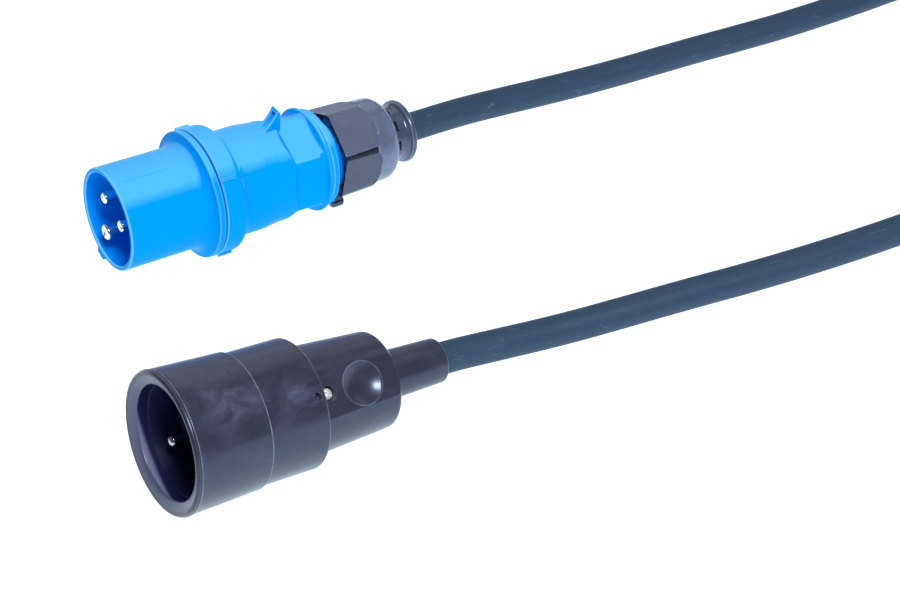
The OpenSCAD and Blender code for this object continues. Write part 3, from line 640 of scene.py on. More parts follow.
# The direction whose faces take the rubber's painted sheen and less specular
UP_AND_BACK = (0, 0.6, 0.8)
# Painted shade: the rubber's colours inside the mouth, darkened to stand for the shade there
RUBBER_PAINTED_SHADE = ((0.005, 0.009, 0.045), (0.008, 0.014, 0.06))


def socket_rubber_finish(colours, dimple):
    """Bluish black rubber: bloom with a painted sheen where hands hold it, a painted shade on the rim's rounding
    and painted light on the lip's face, rub marks, a painted sheen on the upper back side, and worn edges with
    painted highlights.
    """
    finish = Finish("socket_rubber", IOR=1.5, Specular_Tint=(0.7, 0.8, 1, 1))
    where, black, bloom = finish.place(), colours.rubber_black, colours.rubber_bloom_and_sheen
    clouds = finish.ramp(finish.noise(finish.place((70, 110, 130)), 1, 8, 0.66, 0.6), 0.4, 0.68)
    body = finish.mix(finish.ramp(clouds, 0, 1, 0, 0.14), black, bloom)
    # Bloom with a painted sheen: pale patches at these places, facing the key light, stand partly for its broad
    # highlight
    for s, r, angle, reach in BLOOM_AND_SHEEN_PLACES:
        near = finish.near(SOCKET.point(s * MM, r * MM, angle), 0.15 * reach * MM, reach * MM)
        body = finish.mix(finish.multiply(near, finish.ramp(clouds, 0, 1, 0, 0.8)), body, bloom)
    # Painted shade on the lip's outer rounding, and painted light on the lip's face inside it
    body = finish.mix(finish.near(SOCKET.origin, 27.9 * MM, 28.4 * MM), body, tinted(black, 0.5))
    body = finish.mix(finish.near(SOCKET.origin, 26 * MM, 27 * MM), body, tinted(bloom, 0.6))
    marks = finish.ramp(finish.noise(finish.place((40, 160, 40)), 1, 5, 0.6), 0.62, 0.8, 0, 0.3)
    body = finish.mix(marks, body, tinted(bloom, 0.8))
    body = finish.mix(finish.ramp(finish.noise(where, 900, 2), 0.73, 0.8), body, tinted(bloom, 1.6))
    # Painted sheen: faces turned up and back take a paler colour, standing for a bright back wall's reflection
    body = finish.mix(finish.facing(0.82, 1, UP_AND_BACK), body, colours.rubber_painted_sheen)
    # Worn edges, partly painted highlights
    worn = finish.multiply(finish.edge(0.85), finish.ramp(finish.noise(where, 260, 4), 0.35, 0.6, 0.35, 1))
    body = finish.mix(worn, body, colours.rubber_edge_wear_and_highlight)
    in_dimple = finish.ramp(finish.near(dimple, 8 * MM, 9 * MM), 0, 1, 1, 1.05)
    rough = finish.multiply(finish.ramp(finish.noise(where, 70, 5), 0.3, 0.75, 0.24, 0.34), in_dimple)
    finish.set(Specular_IOR_Level=finish.ramp(finish.facing(0.8, 0.93, UP_AND_BACK), 0, 1, 0.6, 0.02))
    return finish.done(body, rough, (where, 1800, 3, 0.012, 0.3))


def rubber_painted_shade_finish(colours):
    """The same rubber inside the mouth, darkened as a painted shade, with painted light in a pale crescent low
    down by the lip where the key light falls.
    """
    finish = Finish("rubber_painted_shade", IOR=1.5, Specular_IOR_Level=0.15)
    where = finish.place()
    body = finish.mix(finish.mottle(where, 120, 5), *RUBBER_PAINTED_SHADE)
    # Painted light: a big ball in front of the mouth touches the wall in a crescent, where the key light's pool is
    # painted pale
    painted_light_pool = finish.near(SOCKET.point(-75 * MM, 23 * MM, 236), 79 * MM, 80.6 * MM)
    body = finish.mix(painted_light_pool, body, tinted(colours.rubber_bloom_and_sheen, 1.5))
    return finish.done(body, finish.mottle(where, 200, 4, 0.45, 0.6), (where, 1500, 2, 0.01, 0.3))


def sheath_finish(colours):
    """Matte rubber sheath: streaks along the cable, scuffs and dust."""
    finish = Finish("cable_sheath", IOR=1.45, Specular_IOR_Level=0.3)
    along = finish.place(source="UV")
    streaks = finish.ramp(finish.noise(finish.place((30, 900, 1), "UV"), 1, 4, 0.6), 0.35, 0.75)
    scuffs = finish.ramp(finish.noise(finish.place((120, 420, 1), "UV"), 1, 5, 0.65, 0.8), 0.6, 0.78, 0, 0.7)
    body = finish.mix(streaks, tinted(colours.sheath, 0.93), tinted(colours.sheath, 1.1))
    body = finish.mix(scuffs, body, colours.sheath_scuff)
    specks = finish.ramp(finish.noise(along, 1100, 2), 0.73, 0.8)
    body = finish.mix(specks, body, tinted(colours.sheath_scuff, 1.7))
    ribs = finish.place((40, 1100, 1), "UV")
    rough = finish.ramp(streaks, 0, 1, 0.5, 0.64)
    return finish.done(body, rough, (ribs, 1, 3, 0.03, 0.3), (along, 2500, 2, 0.02, 0.4))


def metal_finish(name, rgb, rough=(0.12, 0.2), bare=None, bare_rgb=None, metallic=1.0):
    """Plated metal with faint turning marks, worn to the bare metal round a place."""
    finish = Finish(name, Metallic=metallic)
    where = finish.place()
    body = finish.mix(finish.noise(where, 300, 4), tinted(rgb, 0.94), tinted(rgb, 1.04))
    if bare:
        body = finish.mix(finish.near(bare, 1.6 * MM, 2.2 * MM), body, bare_rgb)
    turning = finish.place((4000, 200, 200))
    return finish.done(body, finish.mottle(where, 700, 4, *rough), (turning, 1, 2, 0.001, 0.2))


def plain_plastic_finish(name, rgb, rough=0.5):
    """Plastic or insulation inside the connectors."""
    finish = Finish(name)
    where = finish.place()
    body = finish.mix(finish.noise(where, 150, 4), tinted(rgb, 0.88), tinted(rgb, 1.1))
    gloss = finish.mottle(where, 400, 3, rough - 0.08, rough + 0.08)
    return finish.done(body, gloss, (where, 1500, 2, 0.01, 0.4))


def weave_finish(name, rgb):
    """Woven hook-and-loop strap."""
    finish = Finish(name, Sheen_Weight=0.4)
    fibres = finish.place((900, 2600, 900))
    body = finish.mix(finish.noise(fibres, 1, 3), tinted(rgb, 0.6), tinted(rgb, 1.5))
    return finish.done(body, 0.85, (fibres, 1, 3, 0.15, 0.7), (finish.place(), 3000, 2, 0.05, 0.5))


def repaint(node, material):
    """Gives a packed node's object a better material."""
    for slot in frame["nodes"][node].material_slots:
        slot.material = material


# Plug

PLUG_TURNS = 720
FLANGE_FACE_BACK = 3.2 * MM
FLANGE_FILLET = 5.4 * MM
FLANGE_RIM = 0.9 * MM
PIN_BASE = 7 * MM
SPIGOT_IN = 3.9 * MM
SPIGOT_WALL = 2.6 * MM
SPIGOT_LENGTH = 10 * MM
COLLAR_LENGTH = 11 * MM
COLLAR_ROUND = 3.5 * MM
COLLAR_FILLET = 3 * MM
# Where the housing's taper starts and ends, and how much it takes off the radius
TAPER = (67.5 * MM, 75.5 * MM, 1 * MM)
FLAT_START = 72 * MM
FLAT_FULL = 82.4 * MM
FLAT_FACE = 64.6
FLAT_END = 94.4 * MM
FLANGE_CREST = 1.2 * MM
RIB_FACE = 42
PARTING_FACE = 74
BACK_RING = 3.5 * MM
SPOUT_LENGTH = 19 * MM
FIN_PEAK = 82 * MM
FIN_BACK = 83.4 * MM
# How steep the lid catch's ramp is at its foot and at its crest, degrees
FIN_LEAN = (40, 62)
FIN_GROOVE = 1.8 * MM
FIN_WALL = 0.9 * MM
FIN_FACE = 90
GATE_RADIUS = 7.1 * MM
THROAT_START = 80 * MM
PIN_END = 67 * MM
EARTH_PIN_TIP = 0.3 * MM
PIN_TIP = 1.4 * MM


def shroud_moulding(sizes, material, deep):
    """Shroud, key rib, flange, pin base and spigot, moulded in one."""
    outer, inner = sizes.shroud_radius, sizes.shroud_radius - sizes.shroud_wall
    rim, lip = sizes.collar_radius, sizes.shroud_wall / 2.6
    face, seam = sizes.seam_at - FLANGE_FACE_BACK, sizes.seam_at
    spigot = rim - SPIGOT_IN
    bore = spigot - SPIGOT_WALL
    base_end, spigot_end = sizes.shroud_depth + PIN_BASE, seam + SPIGOT_LENGTH
    profile = [(sizes.shroud_depth, 0), (sizes.shroud_depth, inner - 1 * MM)]
    profile += arc(sizes.shroud_depth - 1 * MM, inner - 1 * MM, 1 * MM, 90, 0, 5)
    profile += straight(inner, sizes.shroud_depth - 4 * MM, 3 * MM, 6 * MM)
    profile += arc(lip, inner + lip, lip, 180, 270, 5)
    profile += arc(lip, outer - lip, lip, 270, 360, 5)
    profile += straight(outer, 1.2 * MM, face - FLANGE_FILLET - 1 * MM, 1 * MM)
    profile += arc(face - FLANGE_FILLET, outer + FLANGE_FILLET, FLANGE_FILLET, 180, 98, 12)
    profile += arc(face + FLANGE_RIM, rim - FLANGE_RIM, FLANGE_RIM, -82, 0, 6)
    profile += arc(seam - FLANGE_RIM, rim - FLANGE_RIM, FLANGE_RIM, 0, 90, 6)
    profile += [(seam, spigot), (spigot_end, spigot), (spigot_end, bore), (base_end, bore), (base_end, 0)]

    def with_parting_line(s, r, angles):
        line = 1 - smooth_step(0.02 * MM, 0.22 * MM, np.abs(outer * turned_from(angles, PARTING_FACE)))
        on_outside = abs(r - outer) < 0.01 * MM and 4 * MM < s < face - 12 * MM
        return r - 0.15 * MM * on_outside * line

    piece = skin("shroud_moulding", PLUG, profile, material, with_parting_line, PLUG_TURNS)
    half = sizes.key_width / 2
    low, high = (outer - 1 * MM, -half, 0.2 * MM), (outer + sizes.key_height, half, face - 1 * MM)
    take_in(piece, slab(PLUG.basis(0, sizes.earth_angle), low, high, 0.7 * MM))
    # Painted shade: the faces inside the shroud take the darker finish
    paint_inner_shade(piece, PLUG, deep, 1.5 * MM, inner + 0.1 * MM)
    return piece


def housing_moulding(sizes, gland, material):
    """Collar, body with wrench flats, rear flange and threaded spout, with the lid catch on top."""
    collar, body, flange = sizes.collar_radius, sizes.housing_radius, sizes.flange_radius
    spigot = collar - SPIGOT_IN
    front = sizes.seam_at + sizes.seam_gap
    collar_end = front + COLLAR_LENGTH
    crest_at = sizes.flange_end - FLANGE_CREST
    flange_front = crest_at - FLANGE_CREST * sin(radians(62))
    flange_foot = flange - FLANGE_CREST * (1 - cos(radians(62)))
    ring_end = sizes.flange_end + BACK_RING
    spout_end = ring_end + SPOUT_LENGTH
    ring = flange - 1.4 * MM
    edge = 0.6 * MM
    spout = gland.spout_radius
    profile = [(front, spigot)]
    profile += arc(front + edge, collar - edge, edge, -90, 0, 5)
    profile += straight(collar, front + 0.8 * MM, front + 7.3 * MM, 0.25 * MM)
    profile += arc(collar_end - COLLAR_ROUND, collar - COLLAR_ROUND, COLLAR_ROUND, 0, 73, 12)
    profile += arc(collar_end + COLLAR_FILLET, body + COLLAR_FILLET, COLLAR_FILLET, 253, 180, 10)
    taper_start, taper_end, taper = TAPER
    slim = body - taper
    body_start = collar_end + COLLAR_FILLET + 1 * MM
    profile += slope((taper_start, body), (taper_end, slim), body_start, FLAT_END, 0.5 * MM)
    profile += straight(slim, FLAT_END + 0.15 * MM, flange_front - 0.15 * MM, 0.15 * MM)
    profile += arc(crest_at, flange - FLANGE_CREST, FLANGE_CREST, -62, 85, 14)
    profile += [(sizes.flange_end + 0.15 * MM, ring - 1 * MM), (sizes.flange_end + 0.5 * MM, ring - 1 * MM)]
    profile += arc(sizes.flange_end + 1.2 * MM, ring - edge, edge, -80, 0, 4)
    profile += arc(ring_end - edge, ring - edge, edge, 0, 88, 5)
    profile += straight(spout, ring_end + 0.02 * MM, spout_end - 1 * MM, 0.25 * MM)
    bore, seat, gate = spout - 3.2 * MM, ring_end + 1.2 * MM, ring_end - 4 * MM
    throat, cavity, shelf = sizes.wrench_flat_radius - 3.7 * MM, body - 3.6 * MM, front + 9.3 * MM
    profile += [(spout_end, spout - 1 * MM), (spout_end, bore), (seat, bore), (seat, GATE_RADIUS)]
    profile += [(gate, GATE_RADIUS), (gate, throat), (THROAT_START, throat), (front + 21 * MM, cavity)]
    profile += [(shelf, cavity), (shelf, spigot)]
    outside = body - 3 * MM

    def flat_radius(s):
        """From the axis to a wrench flat, with a bulging run-in from the housing."""
        share = np.clip((s - FLAT_START) / (FLAT_FULL - FLAT_START), 0, 1)
        return sizes.wrench_flat_radius + (slim + 0.8 * MM - sizes.wrench_flat_radius) * (1 - share**4)

    def with_flats(s, r, angles):
        radii = np.full_like(angles, r)
        if r < outside:
            thread = 0.5 + 0.5 * np.cos(tau * s / gland.thread_pitch - angles)
            return radii - 0.9 * MM * thread if ring_end < s < spout_end and r > spout - 0.5 * MM else radii
        if collar_end < s < flange_front:
            radii = soft_min(radii, polygon_radius(angles, FLAT_FACE, 6, flat_radius(s)), 0.35 * MM)
        if FLAT_END < s < flange_front:
            share = (s - FLAT_END) / (flange_front - FLAT_END)
            groove = np.minimum(radii, flange_foot - 1 * MM)
            sunk = radii + (groove - radii) * smooth_step(0, 0.4, share)
            rise = (1 - sqrt(1 - (0.97 * share) ** 2)) / (1 - sqrt(1 - 0.97**2))
            radii = sunk + (flange_foot - sunk) * rise
        if front + 0.3 * MM < s < collar_end - 1 * MM:
            off = np.min([np.abs(turned_from(angles, RIB_FACE + 90 * i)) for i in range(4)], axis=0)
            ridge = 1 - smooth_step(0.5 * MM, 0.75 * MM, off * collar)
            fade = 1 - smooth_step(front + 6.7 * MM, front + 7.2 * MM, s)
            radii = radii + 1.1 * MM * ridge * fade
        return radii

    piece = skin("housing_moulding", PLUG, profile, material, with_flats, PLUG_TURNS)
    mark_edges(piece, 60, 0.8)
    take_in(piece, lid_catch(sizes))
    return piece


def lid_catch(sizes):
    """The hooked fin that a spring lid drops behind, with a groove down its ramp."""
    foot, crest = FIN_LEAN
    top, root = sizes.housing_radius + sizes.fin_height, sizes.housing_radius - 3.2 * MM
    sweep = (sizes.fin_height + 1.5 * MM) / (cos(radians(foot)) - cos(radians(crest)))
    centre = (FIN_PEAK - sweep * sin(radians(crest)), top + sweep * cos(radians(crest)))
    outline = [(centre[0] + sweep * sin(radians(foot)) - 0.4 * MM, root)]
    outline += arc(*centre, sweep, 180 - foot, 180 - crest, 12)
    for back, down in ((0.6, 0.6), (0.1, 1.8), (0, 3)):
        outline.append((FIN_BACK - back * MM, top - down * MM))
    fin = prism(PLUG.basis(0, FIN_FACE), outline + [(FIN_BACK, root)], sizes.fin_width, 0.3 * MM)
    hollow = arc(*centre, sweep + FIN_GROOVE, 184 - foot, 183 - crest, 10)
    hollow += arc(*centre, sweep - 1 * MM, 183 - crest, 184 - foot, 10)
    drill(fin, prism(PLUG.basis(0, FIN_FACE), hollow, sizes.fin_width - 2 * FIN_WALL, 0.25 * MM))
    mark_edges(fin, 20)
    return fin


def turned_pin(name, axis, place_s, radius, circle, angle, end_s, material, slit=True, round_off=0.28):
    """A contact pin with a rounded tip and a slit in it, standing on a circle round the axis."""
    own = ConnectorAxis(axis.point(0, circle, angle), 0, axis.along)
    tip = round_off * radius
    profile = [(place_s, 0), (place_s, 0.96 * (radius - tip))]
    profile += arc(place_s + tip, radius - tip, tip, -90, 0, 8)
    profile += straight(radius, place_s + tip + 1 * MM, end_s, 6 * MM)
    profile += [(end_s, 0)]
    piece = skin(name, own, profile, material, turns=64, sharp=50)
    if slit:
        half = 0.35 * MM
        low, high = (0, -half, place_s - 1 * MM), (radius + 1 * MM, half, place_s + 7 * MM)
        drill(piece, slab(own.basis(0, angle), low, high))
    return piece


# Gland

NUT_FACE = 53.5
NUT_HEX = 17.2 * MM
NUT_DOME_ROUND = 6.4 * MM
NUT_THREAD_END = 122.8 * MM
SLEEVE_ROOM = 125.8 * MM
SLEEVE_ROOM_RADIUS = 14.65 * MM
SLEEVE_STOP = 133.9 * MM
SLEEVE_START = 130.75 * MM
SLEEVE_COLLAR_END = 133.55 * MM
SLEEVE_COLLAR_RADIUS = 14.3 * MM
SLEEVE_BORE_START = 133 * MM
SLEEVE_NECK_START = 136 * MM
SLOT_DEPTH = 3 * MM


def nut_moulding(gland, grained, polished, smooth, deep):
    """Six-sided nut with grained flats, rounded corners, a domed back and a lug at its front edge."""
    flat, corner = gland.nut_flat_radius, gland.nut_corner_radius
    front, end = gland.nut_front, gland.nut_end
    hex_end, dome, dome_round = front + NUT_HEX, flat + 0.2 * MM, NUT_DOME_ROUND
    groove_at, dome_at = hex_end + 2.6 * MM, hex_end + 3.3 * MM
    bore, neck = gland.spout_radius + 0.35 * MM, gland.neck_radius + 0.35 * MM
    edge, low_corner = 0.6 * MM, corner - 0.5 * MM
    profile = arc(front + edge, corner - edge, edge, -90, 0, 5)
    profile += slope((front, corner), (hex_end, low_corner), front + 1 * MM, hex_end, 0.5 * MM)
    profile += [
        (hex_end + t * (groove_at - hex_end), dome + (low_corner - dome) * (1 - t**1.6))
        for t in even(0.1, 1, 0.1)
    ]
    profile += straight(dome, dome_at, end - dome_round - 1 * MM, 0.5 * MM)
    profile += arc(end - dome_round - 0.4 * MM, dome - dome_round, dome_round, 0, 78, 14)
    profile += [(end - 0.1 * MM, neck + 1.2 * MM), (end, neck + 0.6 * MM), (end, neck)]
    profile += [(SLEEVE_STOP, neck), (SLEEVE_STOP, SLEEVE_ROOM_RADIUS), (SLEEVE_ROOM, SLEEVE_ROOM_RADIUS)]
    profile += [(NUT_THREAD_END, bore), (front + 3 * MM, bore), (front, flat - 1.4 * MM)]

    def flat_at(s):
        return flat - 0.25 * MM * (s - front) / (hex_end - front)

    def with_corners(s, r, angles):
        radii = np.full_like(angles, r)
        if r < flat - 1 * MM or s > groove_at - 0.1 * MM:
            return radii
        return soft_min(radii, polygon_radius(angles, NUT_FACE, 6, flat_at(s)), 0.3 * MM)

    piece = skin("nut_moulding", PLUG, profile, grained, with_corners, PLUG_TURNS)
    take_in(piece, nut_lug(gland))
    for finish in (polished, smooth, deep):
        piece.data.materials.append(finish)
    for polygon in piece.data.polygons:
        s, r, angle = PLUG.measure(polygon.center)
        level = polygon_radius(angle, NUT_FACE, 6, flat_at(s))
        if front + 0.4 * MM < s < groove_at and abs(r - level) < 0.12 * MM:
            polygon.material_index = 0
        elif s > hex_end:
            # The dome behind the flats takes the lighter finish, a painted sheen
            polygon.material_index = 2
        else:
            # The front face inside the flats takes the darkest finish, a painted shade in the gap behind the
            # flange
            polygon.material_index = 3 if r < flat and s < front + 3 * MM else 1
    return piece


def nut_lug(gland):
    """The rounded lug at the nut's front edge, where a key or a thumb catches it."""
    angle = NUT_FACE - 99.5
    centre, radius = gland.nut_corner_radius + 0.6 * MM, 2.6 * MM
    own = ConnectorAxis(PLUG.point(0, centre, angle), 0, PLUG.along)
    start, end = gland.nut_front - 4.6 * MM, gland.nut_front + 1.6 * MM
    round_off = 1.2 * MM
    profile = [(start, 0)] + arc(start + round_off, radius - round_off, round_off, -90, 0, 6)
    profile += arc(end - round_off, radius - round_off, round_off, 0, 90, 6) + [(end, 0)]
    return skin("nut_lug", own, profile, None, turns=48)


def bell_mouth(gland, cable, material):
    """Trumpet sleeve in the nut's back, with slots round its neck and a rolled ring."""
    neck, bell, end = gland.neck_radius, gland.bell_radius, gland.bell_end
    bore = cable.diameter / 2 + 0.35 * MM
    collar, collar_end = SLEEVE_COLLAR_RADIUS, SLEEVE_COLLAR_END
    slot_start, slot_end = gland.nut_end + 0.9 * MM, gland.nut_end + 2.3 * MM
    neck_end, ring_round = gland.nut_end + 3 * MM, 1.8 * MM
    profile = [(SLEEVE_START, bore), (SLEEVE_START, collar), (collar_end, collar), (collar_end, neck)]
    profile += straight(neck, SLEEVE_NECK_START, slot_start - 0.3 * MM, 1 * MM)
    profile += straight(neck, slot_start, slot_end, 0.1 * MM)
    profile += arc(neck_end + 2.4 * MM, neck + 2.3 * MM, 2.3 * MM, 195, 120, 8)
    profile += arc(end - ring_round, bell - ring_round, ring_round, -40, 90, 14)
    profile += [(end - 0.1 * MM, bell - 2.8 * MM)]
    profile += arc(end - 4.6 * MM, bore + 4.5 * MM, 4.5 * MM, 92, 180, 12)
    profile += straight(bore, end - 6 * MM, SLEEVE_BORE_START, 3 * MM)

    def with_slots(s, r, angles):
        if not (slot_start <= s <= slot_end and r > neck - 0.1 * MM):
            return np.full_like(angles, r)
        part = tau / gland.slots
        off = np.abs((angles - radians(4) + part / 2) % part - part / 2) * neck
        deep = 1 - smooth_step(2.4 * MM, 2.6 * MM, off)
        opens = smooth_step(slot_start, slot_start + 0.1 * MM, s)
        closes = smooth_step(slot_end - 0.1 * MM, slot_end, s)
        return r - SLOT_DEPTH * deep * (opens * (1 - closes))

    return skin("bell_mouth", PLUG, profile, material, with_slots, PLUG_TURNS)


# Socket

SOCKET_TURNS = 512
MOUTH_ROUND = 1.4 * MM
MOUTH_SLOPE = 1.6 * MM
STEP_HEIGHT = 0.9 * MM
STOP_LIP = 1.4 * MM
BAND_HOLE_BACK = 3.6 * MM
BAND_HOLE_RADIUS = 1.5 * MM
# From and to which distance from the axis the screw's recess goes, and its radius
SCREW_RECESS = (16.3 * MM, 24 * MM, 3.1 * MM)
SCREW_SEAT = 16.4 * MM
HANDLE_START = 47 * MM
# A bead round the handle's spigot: s and height in millimetres
HANDLE_BEAD = ((50, 0), (50.5, 0.5), (51.5, 0.5), (52, 0))
# Hollows in the handle: the end and radius of the one in its spigot, and the start, end and radius of the
# one round the cord clamp
SPIGOT_ROOM = (65 * MM, 17.2 * MM)
CLAMP_ROOM = (68 * MM, 89 * MM, 14.4 * MM)
BOOT_BORE_START = 92 * MM
THUMB_FLAT_FRONT = 2.2 * MM
THUMB_FLAT_REAR = 1.9 * MM
SOCKET_PIN_OUT = 15 * MM
SOCKET_PIN_CIRCLE = 10 * MM
SOCKET_PIN_END = 58 * MM


def hood_moulding(sizes, material, deep):
    """Front shell: sloped lip, front section, step and band, with the blind hole beside the screw."""
    mouth, bore, band = sizes.mouth_radius, sizes.bore_radius, sizes.band_radius
    front, end, face = sizes.front_length, sizes.band_end, sizes.face_depth
    step, inside = band + STEP_HEIGHT, bore - 0.6 * MM
    lip, edge = 1 * MM, 1.2 * MM
    profile = arc(MOUTH_SLOPE + lip, bore + lip, lip, 180, 247, 6)
    profile += arc(MOUTH_ROUND, mouth - MOUTH_ROUND, MOUTH_ROUND, 262, 352, 12)
    profile += arc(MOUTH_ROUND + 0.55 * MM, mouth - 0.2 * MM, 0.4 * MM, -70, 60, 8)
    profile += slope((MOUTH_ROUND, mouth), (front, step), MOUTH_ROUND + 1 * MM, front - 0.6 * MM, 2 * MM)
    profile += arc(front - 0.35 * MM, step - 0.35 * MM, 0.35 * MM, 0, 85, 5)
    profile += arc(front + 0.6 * MM, band + 0.5 * MM, 0.5 * MM, 262, 180, 6)
    profile += straight(band, front + 1.2 * MM, end - edge - 0.5 * MM, 2 * MM)
    profile += arc(end - edge, band - edge, edge, 0, 90, 8)
    stop = inside - STOP_LIP
    profile += [(end, inside + 0.3 * MM), (end - 0.4 * MM, inside), (face, inside), (face, stop)]
    profile += [(face - 2 * MM, stop), (face - 3 * MM, inside), (7.5 * MM, inside)]
    profile += arc(6.5 * MM, bore - 0.3 * MM, 0.3 * MM, 60, 0, 3)
    profile += [(MOUTH_SLOPE + 1.4 * MM, bore)]
    piece = skin("hood_moulding", SOCKET, profile, material, turns=SOCKET_TURNS)
    hole, radius = SOCKET.basis(end - BAND_HOLE_BACK, sizes.thumb_angle), BAND_HOLE_RADIUS
    drill(piece, cylinder_along_x(hole, band - 2.4 * MM, band + 2 * MM, radius))
    drill(piece, cylinder_along_x(hole, band - 0.3 * MM, band + 0.3 * MM, radius, radius + 0.5 * MM))
    # Painted shade: the faces inside the mouth take the darker finish
    paint_inner_shade(piece, SOCKET, deep, 2.5 * MM, bore + 0.1 * MM)
    mark_edges(piece, 40, 0.4)
    return piece


def handle_moulding(sizes, cable, material):
    """Rear shell: handle with two thumb flats and dimples, and the boot round the cable."""
    front, rear = sizes.handle_front_radius, sizes.handle_rear_radius
    band_end, end, boot_end = sizes.band_end, sizes.handle_end, sizes.boot_end
    round_off = 2.5 * MM
    bore = cable.diameter / 2 + 0.15 * MM
    faces = (sizes.thumb_angle, sizes.thumb_angle + 180)
    profile = [(HANDLE_START, front)] + [(s * MM, front + height * MM) for s, height in HANDLE_BEAD]
    profile += [(band_end, front)]
    stop = end - round_off
    profile += slope((band_end, front), (stop, rear), band_end + 0.2 * MM, stop - 0.2 * MM, 0.35 * MM)
    profile += arc(stop, rear - round_off, round_off, 3, 90, 12)
    profile += [(end, 15 * MM)]
    boot, tip = sizes.boot_start_radius, sizes.boot_end_radius
    profile += arc(end + 1.2 * MM, boot + 1.2 * MM, 1.2 * MM, 268, 183, 8)
    profile += slope((end, boot), (boot_end, tip), end + 2 * MM, boot_end - 1.2 * MM, 3 * MM)
    profile += arc(boot_end - 0.8 * MM, tip - 0.8 * MM, 0.8 * MM, 0, 90, 6)
    profile += [(boot_end, bore + 0.4 * MM), (boot_end - 0.4 * MM, bore), (BOOT_BORE_START, bore)]
    clamp_front, clamp_back, clamp_room = CLAMP_ROOM
    spigot_end, spigot_room = SPIGOT_ROOM
    profile += [(clamp_back, clamp_room), (clamp_front, clamp_room)]
    profile += [(spigot_end, spigot_room), (HANDLE_START, spigot_room)]
    ball = (sizes.dimple_radius**2 + sizes.dimple_depth**2) / (2 * sizes.dimple_depth)

    def flat_at(s):
        first, last = front - THUMB_FLAT_FRONT, rear - THUMB_FLAT_REAR
        return first + (last - first) * (s - band_end) / (end - band_end)

    ball_centre = flat_at(sizes.dimple_at) + ball - sizes.dimple_depth

    def with_flats(s, r, angles):
        radii = np.full_like(angles, r)
        if s <= band_end + 0.1 * MM or s >= end or r < 17.5 * MM:
            return radii
        for face in faces:
            off = turned_from(angles, face)
            facing = np.cos(off)
            near = facing > 0.3
            flat = np.where(near, flat_at(s) / np.where(near, facing, 1), 1)
            radii = soft_min(radii, flat, 0.25 * MM)
            along = s - sizes.dimple_at
            reach = ball_centre * facing
            inside = reach**2 - ball_centre**2 + ball**2 - along**2
            hollow = reach - np.sqrt(np.maximum(inside, 0))
            radii = np.where(near & (inside > 0), soft_min(radii, hollow, 0.25 * MM), radii)
        return radii

    piece = skin("handle_moulding", SOCKET, profile, material, with_flats, SOCKET_TURNS)
    for face in faces:
        drill(piece, cylinder_along_x(SOCKET.basis(sizes.screw_at, face), *SCREW_RECESS))
    mark_edges(piece, 40, 0.4)
    # A thin mark round each dimple's rim, for the rubber's worn edge and painted highlight
    marks = piece.data.attributes["edge"].data
    for face in faces:
        from_dimple = SOCKET.basis(sizes.dimple_at, face).inverted()
        for corner, mark in zip(piece.data.vertices, marks):
            out, across, along = from_dimple @ corner.co
            off = abs(sqrt(across * across + along * along) - sizes.dimple_radius)
            if out > 17 * MM and off < 0.3 * MM:
                mark.value = 0.5 - 0.5 * smooth_step(0.05 * MM, 0.3 * MM, off)
    return piece


def fixing_screw(name, sizes, face, material):
    """A pan-head screw with a slot, at the bottom of its recess."""
    own = ConnectorAxis(SOCKET.point(sizes.screw_at), 0, SOCKET.outward(face))
    own.right = SOCKET.along
    own.up = own.right.cross(own.along)
    seat, head, height, shank = SCREW_SEAT, 2.3 * MM, 1.6 * MM, 1.4 * MM
    top = seat + height
    profile = [(seat - 3 * MM, 0), (seat - 3 * MM, shank), (seat, shank), (seat, head)]
    turns = [radians(90 * i / 10) for i in range(11)]
    profile += [(seat + 0.4 * MM + (height - 0.4 * MM) * sin(a), head * cos(a)) for a in turns]
    piece = skin(name, own, profile, material, turns=64)
    place = own.basis(0, 35)
    half = 0.4 * MM
    drill(piece, slab(place, (-head - 1 * MM, -half, top - 0.8 * MM), (head + 1 * MM, half, top + 1 * MM)))
    return piece


# Cable

# The cable's route from the plug's stripped end to the coil, and from the coil to the socket's
PLUG_ROUTE = [
    (0.0417, 0.06735, 0.02435), (0.0696, 0.06735, 0.0216), (0.0994, 0.06735, 0.0186),
    (0.1114, 0.0674, 0.0174), (0.1337, 0.0678, 0.0148), (0.156, 0.0669, 0.0121),
    (0.1784, 0.065, 0.0098), (0.201, 0.0626, 0.0081), (0.2236, 0.0599, 0.0071),
    (0.2464, 0.0569, 0.0068), (0.2692, 0.0534, 0.0068), (0.2917, 0.0496, 0.0068),
    (0.3152, 0.046, 0.0068), (0.3402, 0.0432, 0.0068), (0.3657, 0.041, 0.0068),
    (0.3892, 0.0392, 0.007), (0.421, 0.0354, 0.0075),
]
SOCKET_ROUTE = [
    (-0.0218, -0.06735, 0.0229), (0.0018, -0.06735, 0.0187), (0.0278, -0.06735, 0.0141),
    (0.038, -0.0677, 0.0123), (0.0576, -0.0702, 0.0096), (0.076, -0.0735, 0.0079),
    (0.0942, -0.0771, 0.007), (0.1125, -0.0809, 0.0068), (0.1311, -0.0848, 0.0068),
    (0.15, -0.0889, 0.0068), (0.1684, -0.0931, 0.0068), (0.1882, -0.0972, 0.0068),
    (0.2082, -0.1009, 0.0068), (0.2282, -0.1042, 0.0068), (0.2492, -0.1072, 0.0068),
    (0.275, -0.1102, 0.0068), (0.303, -0.1126, 0.007), (0.331, -0.1138, 0.0088),
    (0.359, -0.114, 0.013), (0.381, -0.1138, 0.0184), (0.401, -0.1136, 0.0216),
    (0.421, -0.1134, 0.0182), (0.441, -0.1133, 0.0118), (0.455, -0.112, 0.0088),
]
COIL_CENTRE = Vector((0.442, -0.048, 0))
COIL_START = 10
COIL_END = 510
COIL_STEP = 10


